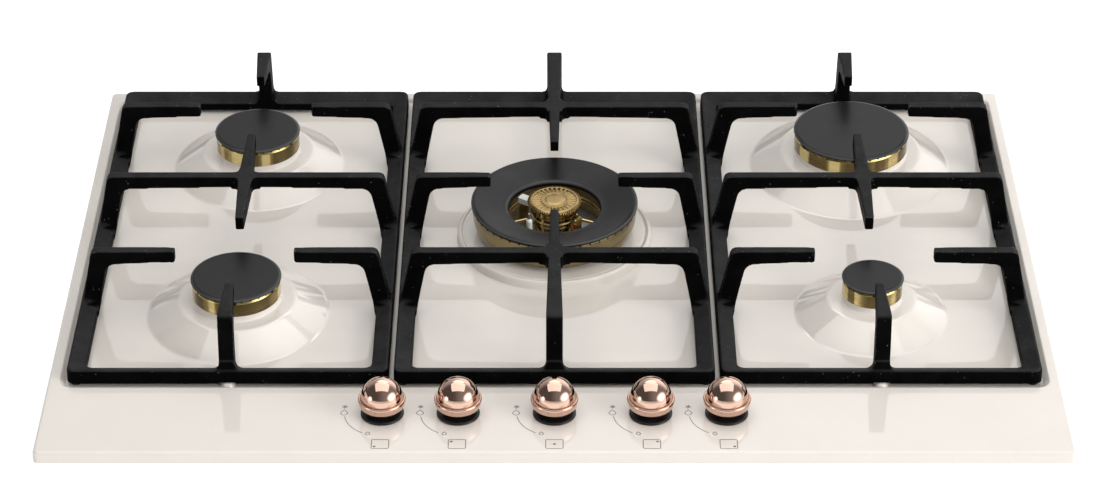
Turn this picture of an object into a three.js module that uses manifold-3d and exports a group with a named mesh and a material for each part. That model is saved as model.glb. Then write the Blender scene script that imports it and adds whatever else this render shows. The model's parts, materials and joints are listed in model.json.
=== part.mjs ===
// Gas cooktop, 75 cm wide: an enamelled plate with four plain burners and a double-ring wok burner,
// three loose cast-iron grates, five push-and-turn knobs, and the gas train in a tray below the plate.
// Millimetres, X to the right, Y to the back, Z up.
// Heights here are above the plate's flat panel; the last lines lift everything onto the tray's bottom.

import * as THREE from 'three';
import { mergeVertices } from 'three/addons/utils/BufferGeometryUtils.js';
import Module from 'manifold-3d';

const wasm = await Module();
wasm.setup();

// ---------------------------------------------------------------- driving dimensions

const FIT = 0.3; // clearance between pieces that seat on, or pass through, each other

// Facets round a turned shape
const LARGE_FACETS = 24;
const MEDIUM_FACETS = 16;
const SMALL_FACETS = 10;
const TINY_FACETS = 6;
const FILLET_CHORDS = 2;

// Plate
const PLATE_WIDTH = 750;
const PLATE_DEPTH = 510;
const PLATE_CORNER = 4;
const RIM_HEIGHT = 9;
const RIM_ROUND = 2.2;
const SHEET = 1.2; // wall of the pressed plate and of the tray
const PRESS_LAP = 0.2; // a raised form starts this far inside the sheet it is pressed from
const RECESS_DEPTH = 4;
const RECESS_SLOPE = 2.5; // plan width of the recess's sloped wall
const RECESS_CORNER = 11;
const RECESS_BORDER = 9; // flat border at the sides and the back
const CONTROL_STRIP = 81.5; // flat strip with the knobs, front edge to recess
const SEAL_WIDTH = 5;

// Grates
const GRATE_MARGIN = 4.8; // grate to recess edge
const GRATE_GAP = 3.5; // between neighbouring grates
const GRATE_CORNER = 7;
const GRATE_TOP = 54.5; // the plane that pans stand on
const RAIL_LIFT = 2.8; // underside of the low rails above the recess floor
const RAIL_HEIGHT = 11.5;
const SIDE_RAIL = 13.5;
const END_RAIL = 8;
const RAIL_DRAFT = 1.2;
const FOOT_RADIUS = 4.5;
const FOOT_INSET = 6.8;
const BAR_WIDTH = 8; // crossbars and short fingers, on top
const BAR_DEPTH = 9; // their height
const TIP_WIDTH = 6.2;
const TIP_DEPTH = 7.5;
const LEG_WIDTH = 13.6;
const LEG_LEAN = 11;
const LEG_FLARE = 5; // how much wider a leg or post stands on its rail
const FLARE_HEIGHT = 8;
const POST_LEAN = 9.5;
const SIDE_SPINE = 9.6; // width of the long fingers and their posts, side grates
const CENTRE_SPINE = 12.4; // the same, centre grate
const CROSSING_FILLET = 5;
const TOP_CORNER = 4.5;
const INNER_CORNER = 7.5;
const BUMP_RADIUS = 5.2; // pressed bump that locates a grate
const BUMP_HEIGHT = 3.2;
const BUMP_CLEARANCE = 1.2;

// Plain burners
const ROW_SHARE = 0.2623; // burner rows from the recess's middle, as a share of the grate's depth
const FINGER_REACH = 45; // finger tip to the middle of a plain burner
const MIDDLE_CROWN = 33.7; // crown radii
const SMALL_CROWN = 22.8;
const LARGE_CROWN = 46;
const CONE_RISE = 14.4; // ledge of a cone above the recess floor
const CONE_LEDGE = 11; // plan width of the ledge outside the crown
const CONE_RUN = 24.2; // plan width of the slope
const LIP_INSET = 3; // plate hole inside the crown's outer wall
const LIP_PROUD = 2.1; // cup lip above the ledge
const LIP_WALL = 2.2;
const CROWN_WALL_HEIGHT = 10.3;
const CROWN_WALL = 3;
const CROWN_THROAT = 1.5; // the crown's bore is this much tighter under the cap
const PORT_HEIGHT = 2.5;
const PORT_DEPTH = 1.8;
const PORT_PITCH = 13; // one flame port for about this length of rim
const CAP_THICKNESS = 4;
const CAP_OVERHANG = 0.8;
const CAP_ROUND = 1.4;
const SKIRT_DEPTH = 5;
const SKIRT_WALL = 2;
const CUP_FLOOR_DROP = 4.8; // bowl floor of a cup below the plate's flat panel, clear of the tray's wall
const WELL_RADIUS = 13; // injector well
const WELL_BOTTOM = 40;
const CUP_WALL = 1.8;

// Wok burner
const WOK_REACH = 50;
const WOK_PLINTH = 75.5;
const WOK_PLINTH_RISE = 6.5;
const WOK_BEAD = 4;
const WOK_HOLE = 50;
const WOK_BOWL_FOOT = 55;
const WOK_BOWL_RADIUS = 64.5;
const WOK_BOWL_TOP = 25; // above the panel
const WOK_BOWL_WALL = 2.2;
const WOK_RING_THICKNESS = 5;
const WOK_RING_DISH = 3;
const WOK_EYE = 36.5; // hole of the ring cap
const WOK_CORE_RADIUS = 19.5;
const WOK_CORE_COLUMN = 15;
const WOK_CORE_SKIRT = 11.5;
const WOK_CORE_PROUD = 0.4; // top of the core above the bowl's
const WOK_INNER_CAP = 20.6;
const WOK_BOWL_DROP = 14;

// Igniters
const ROD_RADIUS = 2.4;
const ROD_TIP = 0.9;
const ROD_TOP = 24;
const ROD_ANGLE = 65; // degrees, counterclockwise from +X, at a plain burner
const WOK_ROD_CIRCLE = 27;
const WOK_ROD_ANGLE = 223;
const WOK_SENSOR_ANGLE = 306;
const WOK_ROD_TOP = 20;

// Knobs and valves
const KNOB_SETBACK = 48.3; // knob axis behind the plate's front edge
const KNOB_INNER = 70.2; // knob axes from the middle
const KNOB_OUTER = 125.6;
const DOME_RADIUS = 15.4;
const BRIM_RADIUS = 17.5;
const BRIM_HEIGHT = 13.8;
const KNOB_HEIGHT = 30;
const KNOB_LIFT = 5.4; // underside of the knob above the panel
const KNOB_PUSH = 3;
const STEM_RADIUS = 3;
const STEM_DEPTH = 26; // stem's end below the panel, knob released
const BEZEL_RADIUS = 15.8;
const BEZEL_HEIGHT = 2;
const VALVE_WIDTH = 22;
const VALVE_FRONT = 17; // valve block before and behind the knob axis
const VALVE_BACK = 16;
const VALVE_TOP = 14;
const VALVE_BOTTOM = 42;
const NECK_RADIUS = 9.5;
const PLUG_RADIUS = 6.6;
const PLUG_TAPER = 1.6;
const PLUG_TOP = 8;
const PLUG_BOTTOM = 37;

// Gas train, tray and fixings
const TRAY_BOTTOM = 55; // underside of the tray below the panel
const TRAY_CORNER = 6;
const MANIFOLD_RADIUS = 6.5;
const MANIFOLD_SETBACK = 19.5; // manifold axis before the knob axis
const MANIFOLD_DROP = 30;
const PIPE_PLAY = 2.1; // manifold to the tray's front wall and to the nearest well
const MANIFOLD_BEND = 14;
const INLET_RADIUS = 10.5;
const INLET_LENGTH = 25;
const INLET_PROUD = 14;
const INLET_PLAY = 0.7; // inlet fitting to the tray's side wall
const TUBE_RADIUS = 3;
const TUBE_DROP = 32;
const TUBE_SIDES = 8;
const TUBE_STEPS = 10;
const SPARK_BOX = { width: 70, depth: 46, height: 25, setback: 40 };
const CABLE_HOLE = 6;
const CABLE_HOLE_X = -120;
const CLAMP = { width: 24, height: 26, foot: 26, sheet: 2, drop: 6, row: 150 }; // grips a 30 mm worktop

// ---------------------------------------------------------------- derived places

const recessFloor = -RECESS_DEPTH;
const recess = {
  left: -PLATE_WIDTH / 2 + RECESS_BORDER,
  right: PLATE_WIDTH / 2 - RECESS_BORDER,
  front: -PLATE_DEPTH / 2 + CONTROL_STRIP,
  back: PLATE_DEPTH / 2 - RECESS_BORDER,
};
const middleY = (recess.front + recess.back) / 2;
const grateDepth = recess.back - recess.front - 2 * GRATE_MARGIN;
const grateWidth = (recess.right - recess.left - 2 * GRATE_MARGIN - 2 * GRATE_GAP) / 3;
const gratePitch = grateWidth + GRATE_GAP;
const rowOffset = grateDepth * ROW_SHARE;
const railBottom = recessFloor + RAIL_LIFT;
const railTop = railBottom + RAIL_HEIGHT;
const ledge = recessFloor + CONE_RISE;
const wokPlinthTop = recessFloor + WOK_PLINTH_RISE;
const crownBottom = ledge + LIP_PROUD + FIT;
const crownTop = crownBottom + CROWN_WALL_HEIGHT + PORT_HEIGHT;
const knobY = -PLATE_DEPTH / 2 + KNOB_SETBACK;
const manifoldY = knobY - MANIFOLD_SETBACK;
const manifoldSide = gratePitch + WELL_RADIUS + MANIFOLD_RADIUS + PIPE_PLAY;
const trayWidth = 2 * (manifoldSide + INLET_RADIUS + INLET_PLAY + SHEET);
const trayDepth = 2 * (MANIFOLD_RADIUS + PIPE_PLAY + SHEET - manifoldY);

const burners = [
  { name: 'front_left', x: -gratePitch, y: middleY - rowOffset, crown: MIDDLE_CROWN, knob: -KNOB_OUTER },
  { name: 'back_left', x: -gratePitch, y: middleY + rowOffset, crown: MIDDLE_CROWN, knob: -KNOB_INNER },
  { name: 'back_right', x: gratePitch, y: middleY + rowOffset, crown: LARGE_CROWN, knob: KNOB_INNER },
  { name: 'front_right', x: gratePitch, y: middleY - rowOffset, crown: SMALL_CROWN, knob: KNOB_OUTER },
];
const wok = { name: 'wok', x: 0, y: middleY, knob: 0 };
const allBurners = [...burners, wok];
const rodCircle = (burner) => burner.crown + CONE_LEDGE / 2;

// ---------------------------------------------------------------- materials

const finish = (color, roughness, metalness) => new THREE.MeshStandardMaterial({ color, roughness, metalness });
const material = {
  enamel: finish(0xe2ddd6, 0.12, 0),
  castIron: finish(0x2a2a2b, 0.6, 0.1),
  blackEnamel: finish(0x373738, 0.45, 0),
  brass: finish(0xc9a655, 0.22, 1),
  roseGold: finish(0xc99c84, 0.1, 1),
  blackPlastic: finish(0x141414, 0.4, 0),
  aluminium: finish(0xb4b6b8, 0.35, 1),
  galvanised: finish(0xa3a6a8, 0.45, 1),
  copper: finish(0xb87350, 0.3, 1),
  ceramic: finish(0xe9e8e4, 0.35, 0),
  foam: finish(0x3a3b3c, 0.9, 0),
  spark: finish(0x25282b, 0.5, 0),
};

// ---------------------------------------------------------------- solids

const cooktop = new THREE.Group();

// A closed mesh as a solid that can be joined and cut.
function solid(geometry) {
  const bare = geometry.index ? geometry.toNonIndexed() : geometry.clone();
  bare.deleteAttribute('normal');
  bare.deleteAttribute('uv');
  const merged = mergeVertices(bare, 1e-4);
  return new wasm.Manifold(
    new wasm.Mesh({
      numProp: 3,
      vertProperties: merged.attributes.position.array,
      triVerts: new Uint32Array(merged.index.array),
    }),
  );
}

// Names a finished solid and adds it to the cooktop at a place.
function place(name, shape, look, x = 0, y = 0) {
  const { vertProperties, triVerts } = shape.getMesh();
  const indexed = new THREE.BufferGeometry();
  indexed.setAttribute('position', new THREE.BufferAttribute(vertProperties, 3));
  indexed.setIndex(new THREE.BufferAttribute(triVerts, 1));
  const geometry = indexed.toNonIndexed();
  geometry.computeVertexNormals();
  const mesh = new THREE.Mesh(geometry, look);
  mesh.name = name;
  mesh.position.set(x, y, 0);
  cooktop.add(mesh);
}

const sum = (shapes) => shapes.reduce((whole, shape) => whole.add(shape));
const cut = (shape, cutters) => cutters.reduce((left, cutter) => left.subtract(cutter), shape);

// A corner of an outline: its place and its fillet radius.
const corner = (x, y, radius = 0) => ({ x, y, radius });

// Outline points through corners, each fillet drawn as a few chords.
function outline(corners, steps = FILLET_CHORDS) {
  const points = [];
  corners.forEach((here, i) => {
    const at = new THREE.Vector2(here.x, here.y);
    if (here.radius === 0) {
      points.push(at);
      return;
    }
    const before = corners[(i + corners.length - 1) % corners.length];
    const after = corners[(i + 1) % corners.length];
    const toward = (other) => new THREE.Vector2(other.x - at.x, other.y - at.y).setLength(here.radius).add(at);
    points.push(...new THREE.QuadraticBezierCurve(toward(before), at, toward(after)).getPoints(steps));
  });
  return points;
}

const rectangle = (left, front, right, back, radius = 0, steps = FILLET_CHORDS) =>
  outline([corner(left, front, radius), corner(right, front, radius),
    corner(right, back, radius), corner(left, back, radius)], steps);

// A rectangle about the middle, drawn in on every side.
const centred = (width, depth, inset, radius = 0, steps = FILLET_CHORDS) =>
  rectangle(-width / 2 + inset, -depth / 2 + inset, width / 2 - inset, depth / 2 - inset, radius, steps);

// A solid through counterclockwise outlines at rising heights, each with as many points.
function loft(levels) {
  const count = levels[0].points.length;
  const top = (levels.length - 1) * count;
  const positions = levels.flatMap(({ z, points }) => points.flatMap((p) => [p.x, p.y, z]));
  const index = [];
  for (let ring = 0; ring < top; ring += count) {
    for (let i = 0; i < count; i++) {
      const a = ring + i;
      const b = ring + ((i + 1) % count);
      index.push(a, b, b + count, a, b + count, a + count);
    }
  }
  for (const [a, b, c] of THREE.ShapeUtils.triangulateShape(levels[0].points, [])) {
    index.push(c, b, a, top + a, top + b, top + c);
  }
  const geometry = new THREE.BufferGeometry();
  geometry.setAttribute('position', new THREE.Float32BufferAttribute(positions, 3));
  geometry.setIndex(index);
  return solid(geometry);
}

const prism = (points, bottom, top) => loft([{ z: bottom, points }, { z: top, points }]);
const block = (left, front, bottom, right, back, top) =>
  prism(rectangle(left, front, right, back), bottom, top);

// A turned solid about the Z axis, from a closed profile of [radius, height] points.
function turned(profile, segments = MEDIUM_FACETS) {
  const points = profile.map(([r, z]) => new THREE.Vector2(r, z));
  const ordered = THREE.ShapeUtils.area(points) > 0 ? points : points.reverse();
  const closed = ordered[0].x > 0 || ordered.at(-1).x > 0 ? [...ordered, ordered[0]] : ordered;
  return solid(new THREE.LatheGeometry(closed, segments).rotateX(Math.PI / 2));
}

const cylinder = (radius, bottom, top, segments = SMALL_FACETS) =>
  turned([[0, bottom], [radius, bottom], [radius, top], [0, top]], segments);

// The radius of a faceted hole whose flats clear a round piece all the way round.
const around = (radius, facets) => (radius + FIT) / Math.cos(Math.PI / facets);

// A cutter for the hole that a round piece passes through.
const bore = (radius, bottom, top, facets = MEDIUM_FACETS) =>
  cylinder(around(radius, facets), bottom, top, facets);

// A flat outline drawn in X and Z, thickened along Y; the thickness may change along the outline.
function standing(points, widthAt) {
  const geometry = new THREE.ExtrudeGeometry(new THREE.Shape(points), { depth: 1, bevelEnabled: false });
  const p = geometry.attributes.position;
  for (let i = 0; i < p.count; i++) {
    const [x, z, side] = [p.getX(i), p.getY(i), p.getZ(i) - 0.5];
    p.setXYZ(i, x, -side * widthAt(x, z), z);
  }
  return solid(geometry);
}

const quarterTurn = (shape) => shape.rotate([0, 0, 90]);
const polar = (radius, degrees) => [
  radius * Math.cos(THREE.MathUtils.degToRad(degrees)),
  radius * Math.sin(THREE.MathUtils.degToRad(degrees)),
];

// ---------------------------------------------------------------- top plate

// The recess as a solid; a positive growth gives the underside of its pressed walls.
function recessSolid(growth, top) {
  const { left, front, right, back } = recess;
  const at = (inset) =>
    rectangle(left + inset, front + inset, right - inset, back - inset, RECESS_CORNER, FILLET_CHORDS + 1);
  return loft([
    { z: recessFloor - growth, points: at(RECESS_SLOPE - growth) },
    { z: 0, points: at(-growth) },
    { z: top, points: at(-growth) },
  ]);
}

// The raised cone of a plain burner, or its hollow when it is drawn in by the sheet.
function coneSolid(burner, drop) {
  const rim = burner.crown + CONE_LEDGE - drop / 2;
  const foot = rim + CONE_RUN;
  const bottom = recessFloor - drop - PRESS_LAP;
  const cone = turned([[0, bottom], [foot, bottom], [rim, ledge - drop], [0, ledge - drop]], LARGE_FACETS);
  return cone.translate([burner.x, burner.y, 0]);
}

// The plinth of the wok burner with its bead round the edge.
function plinthSolid(drop) {
  const rim = WOK_PLINTH - drop;
  const bottom = recessFloor - drop - PRESS_LAP;
  const top = wokPlinthTop - drop;
  const plinth = turned([
    [0, bottom], [rim, bottom], [rim - 0.6, top - 1.5], [rim - WOK_BEAD / 2, top], [0, top],
  ], LARGE_FACETS);
  return plinth.translate([wok.x, wok.y, 0]);
}

const lipRadius = (burner) => burner.crown - LIP_INSET;
const crownBore = (burner) => burner.crown - CROWN_WALL - CROWN_THROAT;

function topPlate() {
  const edge = (inset) => centred(PLATE_WIDTH, PLATE_DEPTH, inset, PLATE_CORNER);
  const outer = loft([
    { z: -RIM_HEIGHT, points: edge(0) },
    { z: -RIM_ROUND, points: edge(0) },
    { z: -RIM_ROUND * 0.3, points: edge(RIM_ROUND * 0.3) },
    { z: 0, points: edge(RIM_ROUND) },
  ]);
  const hollow = prism(edge(SHEET), -RIM_HEIGHT - 1, -SHEET).subtract(recessSolid(SHEET, 1));
  const pressed = sum([
    cut(outer, [hollow, recessSolid(0, 1)]),
    ...burners.map((b) => coneSolid(b, 0)),
    plinthSolid(0),
    ...[-gratePitch, 0, gratePitch].map((x) => locatingBump(x)),
  ]);
  const holes = burners.flatMap((b) => {
    const [x, y] = polar(rodCircle(b), ROD_ANGLE);
    return [
      bore(lipRadius(b), recessFloor, ledge + 1).translate([b.x, b.y, 0]),
      bore(ROD_RADIUS, recessFloor, ledge + 1, TINY_FACETS).translate([b.x + x, b.y + y, 0]),
    ];
  });
  const stemHoles = allBurners.map((b) =>
    bore(STEM_RADIUS, -2 * SHEET, 1, TINY_FACETS).translate([b.knob, knobY, 0]));
  const wokHole = bore(WOK_HOLE, recessFloor - 2 * SHEET, wokPlinthTop + 1, LARGE_FACETS)
    .translate([wok.x, wok.y, 0]);
  const hollows = [...burners.map((b) => coneSolid(b, SHEET)), plinthSolid(SHEET)];
  return cut(pressed, [...hollows, wokHole, ...holes, ...stemHoles]);
}

function locatingBump(x) {
  const y = recess.front + GRATE_MARGIN + END_RAIL * 0.3;
  return turned([
    [0, recessFloor - SHEET / 2], [BUMP_RADIUS, recessFloor - SHEET / 2], [BUMP_RADIUS, recessFloor],
    [BUMP_RADIUS * 0.7, recessFloor + BUMP_HEIGHT], [0, recessFloor + BUMP_HEIGHT],
  ], TINY_FACETS).translate([x, y, 0]);
}

// ---------------------------------------------------------------- grates

// Plan of a grate about its own middle.
const halfWidth = grateWidth / 2;
const halfDepth = grateDepth / 2;

function grateFrame() {
  const outer = (inset) => centred(grateWidth, grateDepth, inset, GRATE_CORNER);
  const opening = (inset) =>
    centred(grateWidth - 2 * SIDE_RAIL, grateDepth - 2 * END_RAIL, inset, GRATE_CORNER);
  const frame = loft([
    { z: railBottom, points: outer(0) },
    { z: railTop - RAIL_DRAFT, points: outer(RAIL_DRAFT * 0.4) },
    { z: railTop, points: outer(RAIL_DRAFT) },
  ]);
  const inside = loft([
    { z: railBottom - 1, points: opening(0) },
    { z: railTop - RAIL_DRAFT, points: opening(-RAIL_DRAFT * 0.4) },
    { z: railTop + 1, points: opening(-RAIL_DRAFT) },
  ]);
  const feet = [-1, 1].flatMap((sx) => [-1, 1].map((sy) =>
    cylinder(FOOT_RADIUS, recessFloor + FIT, railBottom + 1, TINY_FACETS)
      .translate([sx * (halfWidth - FOOT_INSET), sy * (halfDepth - FOOT_INSET), 0])));
  return sum([frame.subtract(inside), ...feet]);
}

// Wider where a leg or post stands on its rail, plain above.
const flare = (width, z) => (z < railTop + 1 ? width + 2 * LEG_FLARE : width);

// The side view of a leg that leans in from one rail and bends into a finger: from the rail's
// outside face at -reach to the tip, as corners in (distance, height).
function bentLeg(reach, lean, leg, tip) {
  const tall = GRATE_TOP - railBottom;
  const lineAt = (z) => ((z - railBottom) / tall) * lean;
  const outside = (z) => -reach + lineAt(z);
  const knee = railTop + FLARE_HEIGHT;
  return outline([
    corner(outside(railBottom), railBottom), corner(outside(railBottom) + leg, railBottom),
    corner(outside(railTop) + leg, railTop), corner(outside(knee) + leg, knee),
    corner(outside(GRATE_TOP - BAR_DEPTH) + leg, GRATE_TOP - BAR_DEPTH, INNER_CORNER),
    corner(tip, GRATE_TOP - TIP_DEPTH), corner(tip, GRATE_TOP, 1.5),
    corner(outside(GRATE_TOP), GRATE_TOP, TOP_CORNER),
    corner(outside(knee), knee), corner(outside(railTop), railTop),
  ]);
}

// One leg and its finger across the grate, ending at a tip or running to the middle.
function crossHalf(side, y, tip) {
  const widthAt = (x, z) => (Math.abs(x - tip) < 2 && tip !== 0 ? TIP_WIDTH : flare(BAR_WIDTH, z));
  const shape = standing(bentLeg(halfWidth, LEG_LEAN, LEG_WIDTH, tip), widthAt);
  return (side < 0 ? shape : shape.rotate([0, 0, 180])).translate([0, y, 0]);
}

const fullBar = (y) => crossHalf(-1, y, 0).add(crossHalf(1, y, 0));
const shortFingers = (y, reach) => crossHalf(-1, y, -reach).add(crossHalf(1, y, -reach));

// A post on the front bar (side -1) or back bar (side 1) with its long finger.
function spine(side, width, tip) {
  const widthAt = (distance) => (distance > tip - 2 ? TIP_WIDTH : width);
  const shape = quarterTurn(standing(bentLeg(halfDepth, POST_LEAN, END_RAIL, tip), widthAt));
  const footing = standing(
    outline([
      corner(-width / 2 - FLARE_HEIGHT, railTop - 2), corner(width / 2 + FLARE_HEIGHT, railTop - 2),
      corner(width / 2 + FLARE_HEIGHT, railTop - 0.5), corner(width / 2, railTop - 0.5, FLARE_HEIGHT - 1),
      corner(width / 2, railTop + FLARE_HEIGHT), corner(-width / 2, railTop + FLARE_HEIGHT),
      corner(-width / 2, railTop - 0.5, FLARE_HEIGHT - 1), corner(-width / 2 - FLARE_HEIGHT, railTop - 0.5),
    ]),
    () => END_RAIL - 3,
  ).translate([0, -halfDepth + END_RAIL / 2 + 2, 0]);
  const whole = shape.add(footing);
  return side < 0 ? whole : whole.rotate([0, 0, 180]);
}

// A plus-shaped web with concave corners where a long finger meets a crossbar.
function crossing(y, width) {
  const [a, b] = [width / 2, BAR_WIDTH / 2];
  const arm = CROSSING_FILLET + 0.5;
  const quadrant = (sx, sy) => {
    const corners = [
      corner(sx * (a + arm), sy * b), corner(sx * a, sy * b, CROSSING_FILLET), corner(sx * a, sy * (b + arm)),
    ];
    return sx * sy > 0 ? corners : corners.reverse();
  };
  const plus = outline([...quadrant(1, 1), ...quadrant(-1, 1), ...quadrant(-1, -1), ...quadrant(1, -1)]);
  return prism(plus, GRATE_TOP - BAR_DEPTH, GRATE_TOP).translate([0, y, 0]);
}

// A short finger before and behind a crossbar, tapering to both tips.
function spoke(width, reach) {
  const half = (sy) => {
    const points = outline([corner(-width / 2, 0), corner(width / 2, 0),
      corner(TIP_WIDTH / 2, reach, 1.5), corner(-TIP_WIDTH / 2, reach, 1.5)]);
    const shape = prism(points, GRATE_TOP - BAR_DEPTH, GRATE_TOP);
    return sy > 0 ? shape : shape.rotate([0, 0, 180]);
  };
  return half(1).add(half(-1));
}

function bumpNotch() {
  const reach = BUMP_RADIUS + BUMP_CLEARANCE;
  return prism(rectangle(-reach, -halfDepth - 1, reach, -halfDepth + END_RAIL + 1), railBottom - 1,
    recessFloor + BUMP_HEIGHT + BUMP_CLEARANCE);
}

function sideGrate() {
  const tip = -(rowOffset + FINGER_REACH);
  return sum([
    grateFrame(), fullBar(0), shortFingers(-rowOffset, FINGER_REACH), shortFingers(rowOffset, FINGER_REACH),
    spine(-1, SIDE_SPINE, tip), spine(1, SIDE_SPINE, tip),
    spoke(SIDE_SPINE, rowOffset - FINGER_REACH), crossing(0, SIDE_SPINE),
  ]).subtract(bumpNotch());
}

function centreGrate() {
  return sum([
    grateFrame(), fullBar(-rowOffset), fullBar(rowOffset), shortFingers(0, WOK_REACH),
    spine(-1, CENTRE_SPINE, -WOK_REACH), spine(1, CENTRE_SPINE, -WOK_REACH),
    crossing(-rowOffset, CENTRE_SPINE), crossing(rowOffset, CENTRE_SPINE),
  ]).subtract(bumpNotch());
}

// ---------------------------------------------------------------- plain burners

// Flame ports: radial notches under the cap.
function ports(outerRadius, bottom, top) {
  const count = Math.round((2 * Math.PI * outerRadius) / PORT_PITCH);
  return Array.from({ length: count }, (_, i) =>
    block(outerRadius - PORT_DEPTH, -0.8, bottom, outerRadius + 1, 0.8, top)
      .rotate([0, 0, (360 * (i + 0.5)) / count]));
}

function burnerCrown(burner) {
  const outer = burner.crown;
  const band = outer - 0.9;
  const inner = crownBore(burner);
  const skirt = lipRadius(burner) - LIP_WALL - 2 * FIT;
  const bandBottom = crownTop - PORT_HEIGHT;
  const ring = turned([
    [skirt, crownBottom - SKIRT_DEPTH], [skirt, crownBottom], [outer, crownBottom], [outer, bandBottom],
    [band, bandBottom], [band, crownTop], [inner, crownTop], [skirt - SKIRT_WALL, crownBottom + 1],
    [skirt - SKIRT_WALL, crownBottom - SKIRT_DEPTH],
  ]);
  return cut(ring, ports(band, bandBottom + 0.4, crownTop + 1));
}

function burnerCap(burner) {
  const radius = burner.crown + CAP_OVERHANG;
  const bottom = crownTop + FIT;
  const top = bottom + CAP_THICKNESS;
  const locate = crownBore(burner) - 2 * FIT;
  return turned([
    [0, bottom], [locate - SKIRT_WALL, bottom], [locate - SKIRT_WALL, bottom - 2], [locate, bottom - 2],
    [locate, bottom],
    [radius - 0.4, bottom], [radius, top - CAP_ROUND], [radius - CAP_ROUND, top], [0, top],
  ]);
}

// The boss that a gas tube ends at, on the front of a well.
function tubeBoss(wellRadius) {
  const boss = cylinder(TUBE_RADIUS + 2, 0, 6, TINY_FACETS).rotate([90, 0, 0]);
  return boss.translate([0, -wellRadius + 1, -TUBE_DROP]);
}

const bossFace = WELL_RADIUS - 1 + 6;

function injectorWell(bowlFloor, opening) {
  const wall = WELL_RADIUS - CUP_WALL;
  return {
    outside: cylinder(WELL_RADIUS, -WELL_BOTTOM, bowlFloor + CUP_WALL / 2).add(tubeBoss(WELL_RADIUS)),
    inside: cylinder(Math.min(wall, opening), -WELL_BOTTOM + CUP_WALL, bowlFloor + CUP_WALL + 1),
  };
}

function burnerCup(burner) {
  const lip = lipRadius(burner);
  const flangeTop = ledge - SHEET - FIT;
  const inside = lip - LIP_WALL;
  const well = injectorWell(-CUP_FLOOR_DROP, inside - 1);
  const bowl = turned([
    [0, -CUP_FLOOR_DROP], [lip, -CUP_FLOOR_DROP], [lip, flangeTop - 2],
    [lip + 4, flangeTop - 2], [lip + 4, flangeTop], [lip, flangeTop], [lip, ledge + LIP_PROUD],
    [inside, ledge + LIP_PROUD], [inside, -CUP_FLOOR_DROP + CUP_WALL + 1], [0, -CUP_FLOOR_DROP + CUP_WALL],
  ]);
  const rodNotch = bore(ROD_RADIUS, flangeTop - 3, flangeTop + 1, TINY_FACETS)
    .translate([...polar(rodCircle(burner), ROD_ANGLE), 0]);
  return cut(bowl.add(well.outside), [well.inside, rodNotch]);
}

// A ceramic rod with a collar and a thin metal tip.
function rod(bottom, shoulder, top) {
  return turned([
    [0, bottom], [ROD_RADIUS, bottom], [ROD_RADIUS, shoulder], [ROD_RADIUS + 0.9, shoulder],
    [ROD_RADIUS + 0.9, shoulder + 1.5], [ROD_RADIUS, shoulder + 1.5], [ROD_RADIUS, top - 6], [ROD_TIP, top - 5],
    [ROD_TIP, top], [0, top],
  ], TINY_FACETS);
}

// ---------------------------------------------------------------- wok burner

const wokSeat = wokPlinthTop + FIT; // top of the cup, level with the bowl's foot
const wokFoot = wokSeat + FIT;

function wokOuterCrown() {
  const eye = WOK_EYE + 1.5;
  const wall = WOK_BOWL_WALL;
  const height = WOK_BOWL_TOP - wokFoot;
  return turned([
    [eye, wokFoot], [WOK_BOWL_FOOT, wokFoot], [WOK_BOWL_FOOT + 4, wokFoot + height * 0.22],
    [WOK_BOWL_RADIUS - 1.5, wokFoot + height * 0.66], [WOK_BOWL_RADIUS, wokFoot + height * 0.84],
    [WOK_BOWL_RADIUS, WOK_BOWL_TOP], [WOK_BOWL_RADIUS - wall, WOK_BOWL_TOP],
    [WOK_BOWL_RADIUS - wall - 1.5, wokFoot + height * 0.66], [WOK_BOWL_FOOT, wokFoot + wall],
    [eye + wall, wokFoot + wall], [eye + wall, WOK_BOWL_TOP - WOK_RING_DISH],
    [eye, WOK_BOWL_TOP - WOK_RING_DISH],
  ], LARGE_FACETS);
}

function wokRingCap() {
  const bottom = WOK_BOWL_TOP + FIT;
  const top = bottom + WOK_RING_THICKNESS;
  const outer = WOK_BOWL_RADIUS + CAP_OVERHANG;
  const inner = bottom - WOK_RING_DISH;
  return turned([
    [WOK_EYE, inner], [WOK_EYE + 3.7, inner], [outer - 4, bottom], [outer - 0.6, bottom], [outer, bottom + 1],
    [outer, top - 2], [outer - 0.8, top - 0.6], [outer - 2.6, top], [WOK_EYE + 3.5, top - WOK_RING_DISH],
    [WOK_EYE + 1.8, top - WOK_RING_DISH - 0.2], [WOK_EYE, top - WOK_RING_DISH - 2.2],
  ], LARGE_FACETS);
}

function wokInnerCrown() {
  const top = WOK_BOWL_TOP + WOK_CORE_PROUD;
  const head = top - 6.5;
  const band = WOK_CORE_RADIUS - 0.9;
  const shape = turned([
    [WOK_CORE_SKIRT - SKIRT_WALL, wokFoot - SKIRT_DEPTH], [WOK_CORE_SKIRT, wokFoot - SKIRT_DEPTH],
    [WOK_CORE_SKIRT, wokFoot], [WOK_CORE_COLUMN + 2.5, wokFoot], [WOK_CORE_COLUMN + 2.5, wokFoot + 2],
    [WOK_CORE_COLUMN, wokFoot + 4], [WOK_CORE_COLUMN, head - 1.5], [band, head], [band, top],
    [WOK_CORE_COLUMN, top], [WOK_CORE_SKIRT - SKIRT_WALL, wokFoot + 3],
  ]);
  return cut(shape, ports(band, top - PORT_HEIGHT, top + 1));
}

function wokInnerCap() {
  const bottom = WOK_BOWL_TOP + WOK_CORE_PROUD + FIT;
  const top = bottom + CAP_THICKNESS;
  return turned([
    [0, bottom], [WOK_INNER_CAP - 1, bottom], [WOK_INNER_CAP, bottom + 1], [WOK_INNER_CAP, top - 1.6],
    [WOK_INNER_CAP - 1.3, top - 0.3], [WOK_INNER_CAP - 2.6, top - 0.3], [WOK_INNER_CAP - 3.4, top - 0.8],
    [0, top - 0.3],
  ]);
}

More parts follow.
